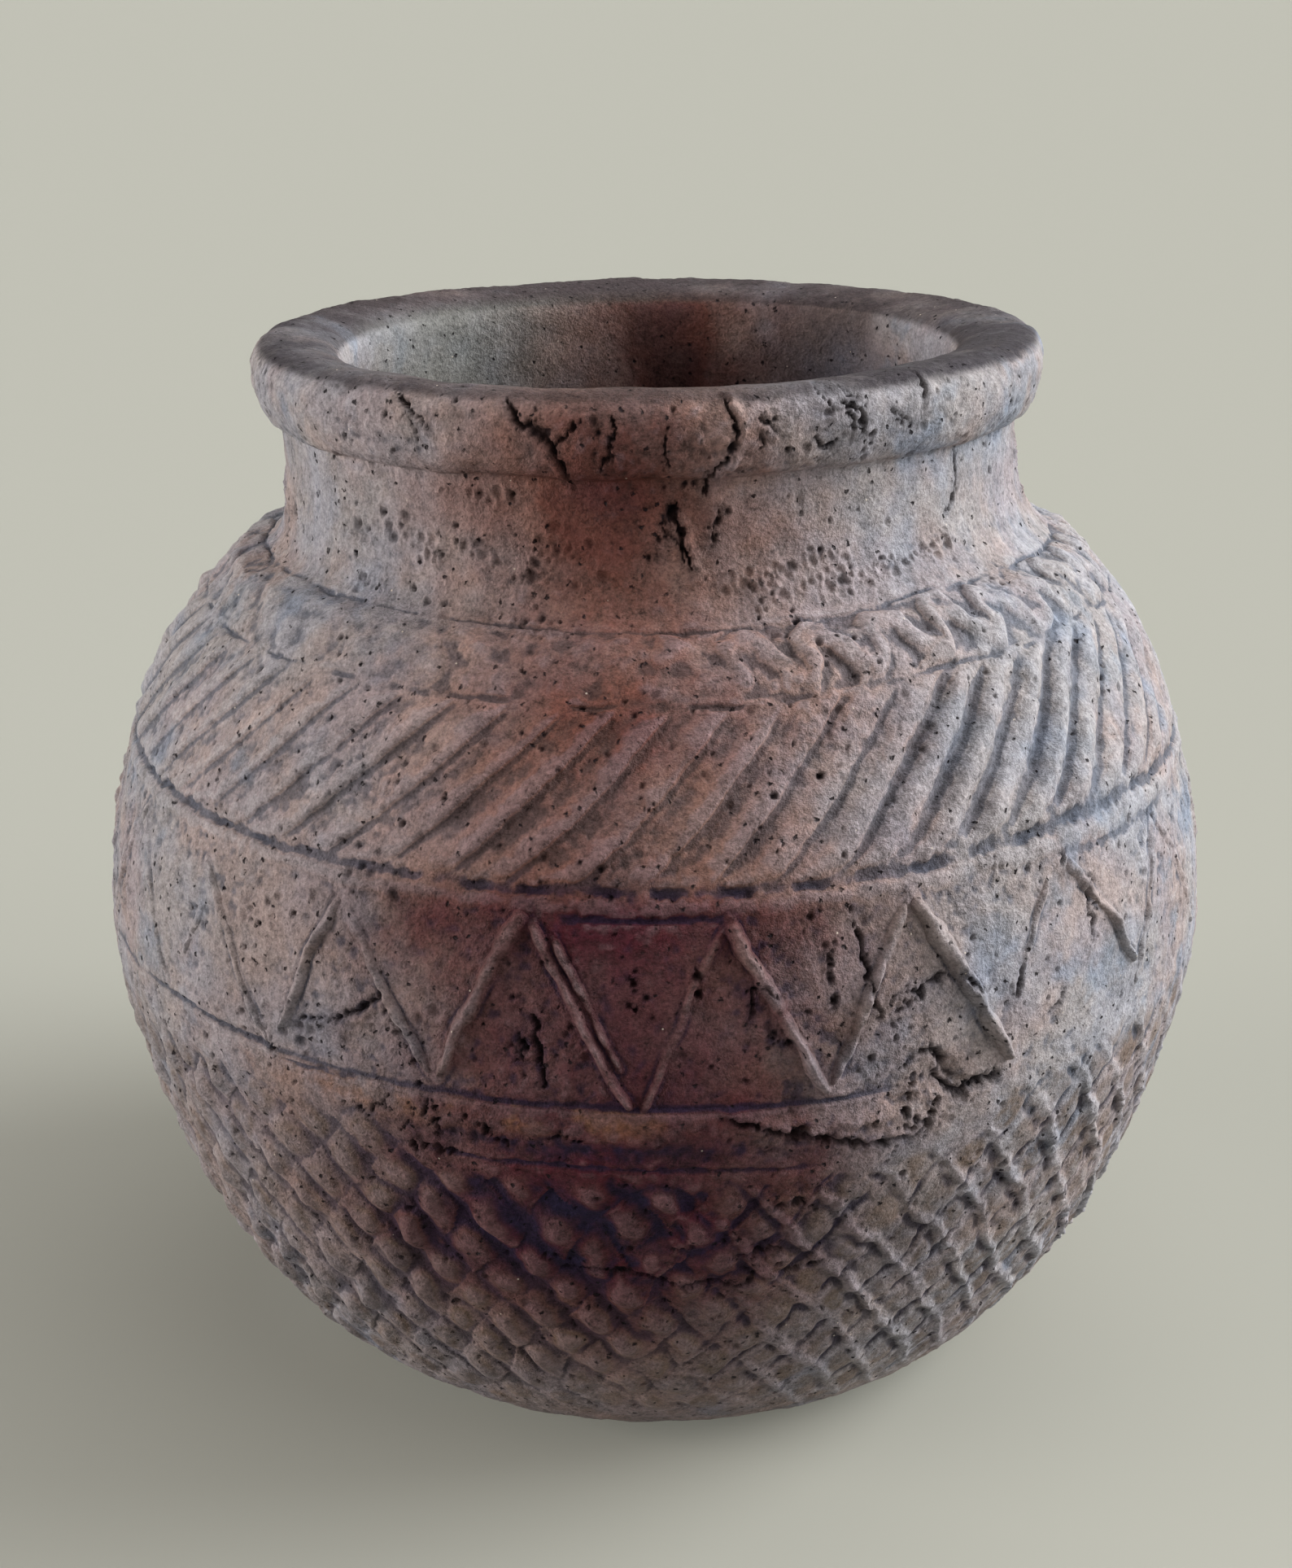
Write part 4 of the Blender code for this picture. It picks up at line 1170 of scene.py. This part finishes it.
# %% [markdown]
# A roll is rows of one section. Its height and width change from row to row, its ends sink into the wall, and
# its colour fields are read from the skin below, with less dirt, shade and smoke on the crest, which is made
# pale for wear and as painted highlight.

# %% One roll along its line
SECTION = np.concatenate([np.linspace(-1, 1, 13), [0.75, -0.75]])
TOP_POINTS = 13
SLIMMED, RAISED = 0.72, 1.15


def swept_roll(name):
    """Points (along, across, 3) and fields of one roll."""
    half_width, height = roll_sizes[name]
    half_width, height = SLIMMED * half_width, RAISED * height
    arc, azimuth = unrolled(rolls[name])
    radius = np.interp(arc, ARC, RADIUS)
    ahead = np.stack([np.gradient(np.radians(azimuth)) * radius, np.gradient(arc)], 1)
    ahead /= np.hypot(*ahead.T)[:, None]
    along = np.linspace(0, 1, len(arc))
    length = len(arc) * ROLL_STEP
    spots = np.stack([azimuth, arc, along * 0 + 7 * half_width], 1)
    swell = 1 + 0.42 * solid_noise(spots, (4, 5, 3), 51) + 0.25 * solid_noise(spots, (1.5, 1.7, 3), 52)
    width = half_width * swell * (0.8 + 0.25 * (arc - arc.min()) / np.ptp(arc))
    ends = np.minimum(along, 1 - along) * length / (2.4 * half_width)
    ends = np.sqrt(np.clip(1 - (1 - np.clip(ends, 0, 1)) ** 2, 0, 1))
    rubbed_off = 0.35 + 0.65 * ease(-0.7, -0.1, solid_noise(spots, (9, 9, 5), 56))
    tall = height * ends * rubbed_off * (1 + 0.5 * solid_noise(spots, (5, 6, 3), 53))
    side = SECTION[None, :] * (width * (0.45 + 0.55 * ends))[:, None]
    arc_wide = arc[:, None] + side * ahead[:, :1]
    azimuth_wide = azimuth[:, None] - np.degrees(side * ahead[:, 1:] / radius[:, None])
    arch = (1 - SECTION**2)[None, :] ** 1.1 * tall[:, None] - 0.18
    knots = np.stack([azimuth_wide * MM_PER_DEGREE, arc_wide, arc_wide * 0], -1)
    lumps = 0.45 * solid_noise(knots, 2.4, 54) + 0.26 * solid_noise(knots, 1.1, 55)
    arch += lumps * (1 - SECTION**2)[None, :]
    arch[:, TOP_POINTS:] = -1.3
    wall = sampled(lift, arc_wide, azimuth_wide)
    rise = wall + arch
    base_r = np.interp(arc_wide, ARC, RADIUS) + np.interp(arc_wide, ARC, OUT[:, 0]) * rise
    base_z = np.interp(arc_wide, ARC, LEVEL) + np.interp(arc_wide, ARC, OUT[:, 1]) * rise
    turn_wide = np.radians(azimuth_wide)
    points = settled(np.stack([base_r * np.sin(turn_wide), -base_r * np.cos(turn_wide), base_z], -1))
    crest = np.clip(arch / max(height, 0.1), 0, 1)
    fields = {field: sampled(values, arc_wide, azimuth_wide) for field, values in SKIN_FIELDS.items()}
    # Less dirt, shade and smoke on the crest, which is made pale: wear and painted highlight.
    fields["soot"] = fields["soot"] * (1 - 0.75 * crest)
    fields["smoke"] = fields["smoke"] * (1 - 0.2 * crest)
    fields["hollow"] = 0.15 - 0.75 * crest
    return points, fields


print("section of", len(SECTION), "points")

# %% [markdown]
# The rolls of a triangle are joined to one object, each closed by a cap at both ends, with its own strip of
# the map for baking.


# %% The rolls of one triangle
def roll_object(name, members):
    """One closed mesh for the rolls of a triangle."""
    corners, faces, places, values = [], [], [], {}
    for index, member in enumerate(members):
        points, fields = swept_roll(member)
        count, width = points.shape[:2]
        start = sum(len(part) for part in corners)
        number = np.arange(count * width).reshape(count, width) + start
        for row in range(count - 1):
            for column in range(width):
                beside = (column + 1) % width
                low, high = number[row], number[row + 1]
                faces.append([low[column], high[column], high[beside], low[beside]])
                u, v = row / count, (index + 0.95 * column / width) / len(members)
                u_step, v_step = 1 / count, 0.95 / width / len(members)
                places += [(u, v), (u + u_step, v), (u + u_step, v + v_step), (u, v + v_step)]
        for cap in (number[0], number[-1][::-1]):
            faces.append(list(cap))
            for k in range(width):
                u, v = 0.985 + 0.01 * math.cos(k), (index + 0.97 + 0.01 * math.sin(k)) / len(members)
                places.append((u, v))
        corners.append(points.reshape(-1, 3))
        for field, array in fields.items():
            values.setdefault(field, []).append(array.ravel())
    mesh = bpy.data.meshes.new(name)
    mesh.from_pydata((np.concatenate(corners) * MM).tolist(), [], [list(map(int, face)) for face in faces])
    for field, arrays in values.items():
        stored = mesh.attributes.new(field, "FLOAT", "POINT")
        stored.data.foreach_set("value", np.concatenate(arrays).astype(np.float32))
    mesh.uv_layers.new(name="OFBake").data.foreach_set("uv", np.array(places, np.float32).ravel())
    mesh.shade_smooth()
    mesh.set_sharp_from_angle(angle=math.radians(60))
    made = bpy.data.objects.new(name, mesh)
    bpy.context.scene.collection.objects.link(made)
    return made


print("roll helper ready")

# %% [markdown]
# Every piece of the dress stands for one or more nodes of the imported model. The rolls are made here, one
# object for each triangle, and the doubled roll belongs to the first.

# %% Pieces and the nodes they stand for
NODES_OF = {
    "foot": ["base_pat"],
    "lower_net_ring": ["lower_net_course"],
    "upper_net_ring": ["upper_net_course"],
    "plain_band_ring": ["plain_band_course"],
    "zigzag_ring": ["zigzag_course"],
    "shoulder_ring": ["shoulder_course"],
    "collar_strip": ["collar_strip"],
    "neck_ring": ["neck_course"],
    "rim": ["rim_roll"],
}
for number in range(1, TRIANGLES + 1):
    members = [f"rise_{number:02d}", f"fall_{number:02d}"] + ["doubled"] * (number == 1)
    name = f"triangle_rolls_{number:02d}"
    pieces[name] = roll_object(name, members)
    NODES_OF[name] = [f"zigzag_{member}" for member in members[:2]] + ["zigzag_doubled_roll"] * (number == 1)
print("pairs of rolls:", TRIANGLES)

# %% [markdown]
# Now the finish. Unglazed clay has no coat: its look is colour that changes from grain to grain and a rough
# skin. To write the mixing as plain sums, a small class wraps a shader socket and adds Math nodes for its
# operators.


# %% Write shader maths as expressions
class Socket:
    """A shader socket whose arithmetic adds Math nodes."""

    def __init__(self, tree, link):
        self.tree, self.link = tree, link

    def maths(self, operation, *values, clamp=False):
        settings = {"operation": operation, "use_clamp": clamp}
        return self.tree.node("Math", settings, dict(enumerate(values)))[0]

    def __add__(self, other):
        return self.maths("ADD", self, other)

    def __radd__(self, other):
        return self.maths("ADD", other, self)

    def __sub__(self, other):
        return self.maths("SUBTRACT", self, other)

    def __rsub__(self, other):
        return self.maths("SUBTRACT", other, self)

    def __mul__(self, other):
        return self.maths("MULTIPLY", self, other)

    def __rmul__(self, other):
        return self.maths("MULTIPLY", other, self)

    def __gt__(self, other):
        return self.maths("GREATER_THAN", self, other)

    def most(self, other):
        return self.maths("MAXIMUM", self, other)

    def held(self):
        """The value held between 0 and 1."""
        return self.maths("ADD", self, 0.0, clamp=True)

    def ease(self, low, high):
        """A smooth rise from 0 at low to 1 at high; it falls if high is below low."""
        ends = (low, high, 0.0, 1.0) if low < high else (high, low, 1.0, 0.0)
        values = dict(zip(("From Min", "From Max", "To Min", "To Max"), ends), Value=self)
        return self.tree.node("MapRange", {"interpolation_type": "SMOOTHSTEP"}, values)[0]


print("socket maths ready")

# %% [markdown]
# A finish holds the node tree of a material or of the world. One method adds any node, sets its settings and
# fills its sockets. The others are short names for what the clay uses often.


# %% A material and its nodes
class Finish:
    """A material, or the world, and the one method that adds its nodes."""

    def __init__(self, name, owner=None):
        self.material = owner or bpy.data.materials.new(name)
        self.material.use_nodes = True
        self.nodes = self.material.node_tree.nodes
        self.links = self.material.node_tree.links
        self.nodes.clear()

    def node(self, kind, settings=None, values=None):
        """Adds a shader node, sets its settings, then fills its sockets; gives its outputs."""
        made = self.nodes.new("ShaderNode" + kind)
        for setting, value in (settings or {}).items():
            if setting == "stops":
                while len(made.color_ramp.elements) < len(value):
                    made.color_ramp.elements.new(0.5)
                for element, (place, colour) in zip(made.color_ramp.elements, value):
                    element.position, element.color = place, (*colour, 1)
            else:
                setattr(made, setting, value)
        for socket, value in (values or {}).items():
            target = made.inputs[socket]
            if isinstance(value, Socket):
                self.links.new(value.link, target)
            elif isinstance(value, tuple) and len(value) == 3 and target.type == "RGBA":
                target.default_value = (*value, 1)
            else:
                target.default_value = value
        return [Socket(self, output) for output in made.outputs]

    def blend(self, amount, first, second, kind="MIX"):
        """Mix of two colours."""
        named = {"data_type": "RGBA", "blend_type": kind, "clamp_factor": True}
        return self.node("Mix", named, {0: amount, 6: first, 7: second})[2]

    def seen(self):
        """1 for a look that is straight, mirrored or refracted, and 0 for light that scatters."""
        rays = self.node("LightPath")
        return rays[0].most(rays[3]).most(rays[6])

    def field(self, name):
        """A number that was stored on the mesh's points."""
        return self.node("Attribute", {"attribute_name": name})[2]

    def noise(self, place, scale, detail=3.0, roughness=0.55):
        """Cloudy noise from 0 to 1."""
        values = {"Vector": place, "Scale": scale, "Detail": detail, "Roughness": roughness}
        return self.node("TexNoise", {}, values)[0]

    def stretched(self, place, stretch):
        """A place scaled by its own number along x, y and z."""
        return self.node("VectorMath", {"operation": "MULTIPLY"}, {0: place, 1: stretch})[0]

    def dots(self, place, scale, shift):
        """Distance from scattered points, in cells, and each cell's own random colour parts."""
        moved = self.node("VectorMath", {"operation": "ADD"}, {0: place, 1: shift})[0]
        distance, colour, *_ = self.node("TexVoronoi", {"feature": "F1"}, {"Vector": moved, "Scale": scale})
        parts = self.node("SeparateColor", {}, {"Color": colour})
        return distance, parts[0], parts[1]


print("shader helpers ready")

# %% [markdown]
# Fired clay on this jar is pale and greyish-pink at the sides and smoked to a dark red-brown in front; that
# dark front is also painted shade. Recesses are darkened with slate-coloured dirt and painted shade, and
# raised edges are made pale for wear and as painted highlight. Grain, pores painted dark as shade and specks
# of mica come last, finer than the mesh can hold.

# %% Clay colours
PALE_CLAY, ROSE_CLAY, SLATE_CLAY = (0.352, 0.325, 0.33), (0.362, 0.294, 0.284), (0.232, 0.262, 0.315)
WARM_CLAY, PLUM_CLAY, SMOKED_SHADED_CLAY = (0.285, 0.135, 0.094), (0.225, 0.140, 0.122), (0.080, 0.0145, 0.020)
TAN_CLAY, STRIP_TAN = (0.150, 0.102, 0.072), (0.27, 0.130, 0.070)
DUST_AND_SHEEN, FRONT_DUST_AND_SHEEN = (0.44, 0.412, 0.42), (0.185, 0.100, 0.106)
SLATE_DIRT_SHADE, NIGHT_DIRT_SHADE, BROWN_DIRT_SHADE = (0.085, 0.094, 0.122), (0.019, 0.013, 0.033), (0.060, 0.034, 0.028)
NET_DIRT_SHADE, RIM_DIRT_SHADE = (0.045, 0.032, 0.039), (0.055, 0.046, 0.051)
LINING = (0.19, 0.178, 0.155)
PORE_SHADE, MICA = (0.016, 0.011, 0.014), (0.75, 0.62, 0.50)


print("clay colours named")

# %% [markdown]
# The colour is built as the jar's was: clay, then fire with the painted shade of the front, then dirt and
# wear with painted shade and highlight, then grain with pores painted dark as shade. The fields stored on the
# points say where, and noise breaks every border up.


# %% Nodes of the clay
def clay_finish(name):
    """The fired clay with its grain, pores and dirt."""
    clay = Finish(name)
    metres = clay.node("TexCoord")[3]
    place = clay.stretched(metres, (1000.0, 1000.0, 1000.0))
    soot, black, hollow, smoke, cell, lining = (clay.field(field) for field in SKIN_FIELDS)
    across, _, level = clay.node("SeparateXYZ", {}, {"Vector": place})
    cloud = clay.noise(place, 1 / 26)
    stain = clay.noise(place, 1 / 15, 3.0, 0.6)
    tint = clay.noise(place, 1 / 11, 4.0, 0.6)
    mottle = clay.noise(place, 1 / 4.5, 5.0, 0.65)
    grain = clay.noise(place, 1 / 1.3, 4.0, 0.7)
    sand = clay.noise(place, 1 / 0.5, 3.0, 0.7)
    wiped = clay.noise(clay.stretched(metres, (1000.0, 1000.0, 120.0)), 1 / 4.0, 3.0, 0.5)
    neck = level.ease(162.0, 168.0) * level.ease(187.0, 182.0)

    side = clay.blend(cloud.ease(0.42, 0.60), PALE_CLAY, ROSE_CLAY)
    side = clay.blend(stain.ease(0.52, 0.66) * (0.65 - neck * 0.45), side, SLATE_CLAY)
    side = clay.blend(wiped.ease(0.50, 0.66) * neck * 0.15, side, SLATE_CLAY)
    # The fire cloud together with the painted shade of the jar's front, broken up by noise.
    fire_and_shade = (smoke + (mottle - 0.5) * 0.15 + (tint - 0.5) * 0.22).held()
    upper_stops = [(0.0, ROSE_CLAY), (0.45, WARM_CLAY), (1.0, SMOKED_SHADED_CLAY)]
    lower_stops = [(0.0, ROSE_CLAY), (0.45, PLUM_CLAY), (1.0, SMOKED_SHADED_CLAY)]
    upper = clay.node("ValToRGB", {"stops": upper_stops}, {"Fac": fire_and_shade})[0]
    lower = clay.node("ValToRGB", {"stops": lower_stops}, {"Fac": fire_and_shade})[0]
    fired_and_shaded = clay.blend(level.ease(121.0, 129.0), lower, upper)
    colour = clay.blend((smoke * 1.3 + (mottle - 0.5) * 0.35).held(), side, fired_and_shaded)
    strip = level.ease(80.0, 82.5) * level.ease(92.2, 91.4) * smoke.ease(0.2, 0.6)
    olive = cell * mottle.ease(0.32, 0.56) * (0.85 - smoke.ease(0.6, 0.95) * 0.65)
    colour = clay.blend(olive, colour, TAN_CLAY)
    tan = strip * tint.ease(0.42, 0.56) * level.ease(84.0, 90.0) * across.ease(14.0, -12.0) * 0.7
    colour = clay.blend(tan, colour, STRIP_TAN)
    hue = clay.noise(place, 1 / 17, 3.0, 0.6)
    toned = clay.blend(hue.ease(0.40, 0.60), (1.04, 0.99, 0.94), (0.97, 0.99, 1.03))
    colour = clay.blend(1.0, colour, toned, "MULTIPLY")
    # The dirt colours also paint shade: in recesses, grooves, cracks, beside rolls, low on the front and on
    # the rim's top.
    dirt_shade_colour = clay.blend(level.ease(84.0, 74.0) * 0.8, SLATE_DIRT_SHADE, NET_DIRT_SHADE)
    dirt_shade_colour = clay.blend(level.ease(186.0, 196.0), dirt_shade_colour, RIM_DIRT_SHADE)
    front_dirt_shade_colour = clay.blend(level.ease(126.0, 131.0), NIGHT_DIRT_SHADE, BROWN_DIRT_SHADE)
    dirt_shade_colour = clay.blend((smoke * 1.25).held(), dirt_shade_colour, front_dirt_shade_colour)
    # Crests turn pale: dust and wear, together with painted highlight.
    dust_and_sheen = clay.blend((smoke * 1.2).held(), DUST_AND_SHEEN, FRONT_DUST_AND_SHEEN)
    colour = clay.blend((hollow * -1.0).ease(0.1, 1.0) * (0.36 + smoke * 0.14), colour, dust_and_sheen)
    colour = clay.blend(hollow.ease(0.05, 0.9) * (0.65 - cell * 0.3), colour, dirt_shade_colour)
    colour = clay.blend((soot * (0.5 + mottle)).held(), colour, dirt_shade_colour)
    colour = clay.blend(lining * 0.85, colour, LINING)
    speckle = ((grain * 0.34 + sand * 0.32 + mottle * 0.23 + tint * 0.11 - 0.5) * 3.5 + 0.5).held()
    colour = clay.blend(0.6 + smoke * 0.25, colour, speckle, "OVERLAY")

    jitter = clay.node("TexNoise", {}, {"Vector": place, "Scale": 1.1})[1]
    bent = clay.node("VectorMath", {"operation": "SCALE"}, {0: jitter, "Scale": 1.5})[0]
    crooked = clay.node("VectorMath", {"operation": "ADD"}, {0: place, 1: bent})[0]
    near, chance, size = clay.dots(crooked, 1 / 2.0, (3.0, 7.0, 1.0))
    pore = near.ease(0.22, 0.08) * (chance > 0.6) * (mottle + size * 0.3).ease(0.43, 0.60)
    near_fleck, chance_fleck, _ = clay.dots(place, 1 / 3.1, (5.0, 1.0, 4.0))
    fleck = near_fleck.ease(0.065, 0.045) * (chance_fleck > 0.84)
    # Pores and the black of cracks and pits are painted shade.
    colour = clay.blend(pore * 0.92, colour, PORE_SHADE)
    colour = clay.blend(black, colour, PORE_SHADE)
    colour = clay.blend(fleck * 0.8, colour, MICA)

    height = (grain * 0.65 + sand * 0.3 + mottle * 1.2 - pore * 2.0) * (0.9 + smoke * 1.3)
    bumped = clay.node("Bump", {}, {"Strength": 1.0, "Distance": 0.00055, "Height": height})[0]
    rough = 0.58 + soot * 0.12 - (hollow * -1.0).held() * 0.08 - smoke * 0.06 + (sand - 0.5) * 0.25
    shader = clay.node(
        "BsdfPrincipled",
        {},
        {"Base Color": colour, "Roughness": rough.held(), "Normal": bumped, "Specular IOR Level": 0.08},
    )[0]
    clay.node("OutputMaterial", {}, {"Surface": shader})
    print(name, "has", len(clay.nodes), "nodes")
    return clay.material


print("clay recipe ready")

# %% [markdown]
# One clay serves all pieces, because the jar was fired whole. Each piece rides on the jar's one body and
# replaces its nodes.

# %% Dress every piece
clay = clay_finish("fired_clay")
for name, piece in pieces.items():
    piece.data.materials.append(clay)
    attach(piece, "root")
    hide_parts(*NODES_OF[name])
    "applied_clay" if name == "collar_strip" or name.startswith("triangle") else "wall_clay"
print("pieces dressed:", len(pieces))

# %% [markdown]
# The jar stands on a pale floor that runs back to the horizon. Seen by the camera the floor keeps a little
# light of its own, so the shadow stays soft, while it throws little light back up at the jar.

# %% Floor
floor_mesh = bpy.data.meshes.new("floor")
floor_mesh.from_pydata([(-90, -90, 0), (90, -90, 0), (90, 90, 0), (-90, 90, 0)], [], [(0, 1, 2, 3)])
floor = bpy.data.objects.new("floor", floor_mesh)
bpy.context.scene.collection.objects.link(floor)
paper = Finish("pale_floor")
seen = paper.seen()
FLOOR_SEEN, FLOOR_GLOW, FLOOR_BOUNCE = (0.333, 0.314, 0.266), (0.110, 0.111, 0.096), (0.28, 0.28, 0.26)
lit = paper.node("BsdfDiffuse", {}, {"Color": paper.blend(seen, FLOOR_BOUNCE, FLOOR_SEEN)})[0]
glow = paper.node("Emission", {}, {"Color": paper.blend(seen, (0.0, 0.0, 0.0), FLOOR_GLOW)})[0]
both = paper.node("AddShader", {}, {0: lit, 1: glow})[0]
paper.node("OutputMaterial", {}, {"Surface": both})
floor_mesh.materials.append(paper.material)
print("floor has", len(paper.nodes), "nodes")


# %% [markdown]
# Windows light the jar from both sides, the right ones with bluer light, and leave its front in half shade.
# A broad skylight fills in from above right. All four are distant lamps with a wide disc, so their light is
# even over the floor and their shadows are soft. The air behind looks pale but gives only a little light.

# %% Light
def window_light(name, azimuth, elevation, strength, spread, colour=(1, 1, 1)):
    """A soft distant lamp shining from an azimuth round the jar and an elevation above the floor."""
    lamp = bpy.data.lights.new(name, "SUN")
    lamp.energy = strength
    lamp.angle = math.radians(spread)
    lamp.color = colour
    made = bpy.data.objects.new(name, lamp)
    made.rotation_euler = (math.radians(90 - elevation), 0, math.radians(azimuth))
    bpy.context.scene.collection.objects.link(made)
    return made


window_light("right_window", 99, 30, 3.5, 36, (0.88, 0.95, 1.0))
window_light("skylight", 105, 60, 1.8, 90, (0.92, 0.97, 1.0))
window_light("side_window", 70, 14, 1.1, 50, (0.92, 0.97, 1.0))
window_light("left_window", -82, 5, 3.75, 36, (1.0, 0.99, 0.99))
AIR_LIGHT, AIR_SEEN = (0.115, 0.11, 0.11), (0.533, 0.533, 0.462)
room = Finish("room", bpy.data.worlds.new("room"))
air = room.node("Background", {}, {"Color": room.blend(room.seen(), AIR_LIGHT, AIR_SEEN)})[0]
room.node("OutputWorld", {}, {"Surface": air})
bpy.context.scene.world = room.material
print("lamps:", len(bpy.data.lights))

# %% [markdown]
# The camera stands where the photograph was taken from, found by fitting the jar's outline and rings with a
# pinhole camera. The frame is 1927 pixels tall, so the lens follows from the focal length in pixels.

# %% Camera
FOCAL_PIXELS, FRAME_PIXELS, SENSOR, LOOK_DOWN = 2655.41, 1927, 36, 20.3707
camera_data = bpy.data.cameras.new("camera")
camera_data.sensor_fit = "VERTICAL"
camera_data.sensor_height = SENSOR
camera_data.lens = FOCAL_PIXELS / FRAME_PIXELS * SENSOR
camera_data.clip_start = 0.01
camera_data.clip_end = 300
camera = bpy.data.objects.new("camera", camera_data)
camera.location = (-0.001809, -0.41719, 0.26182)
camera.rotation_euler = (math.radians(90 - LOOK_DOWN), 0, 0)
bpy.context.scene.collection.objects.link(camera)
bpy.context.scene.camera = camera
bpy.context.scene.view_settings.view_transform = "Standard"
print("lens", round(camera_data.lens, 2), "mm")
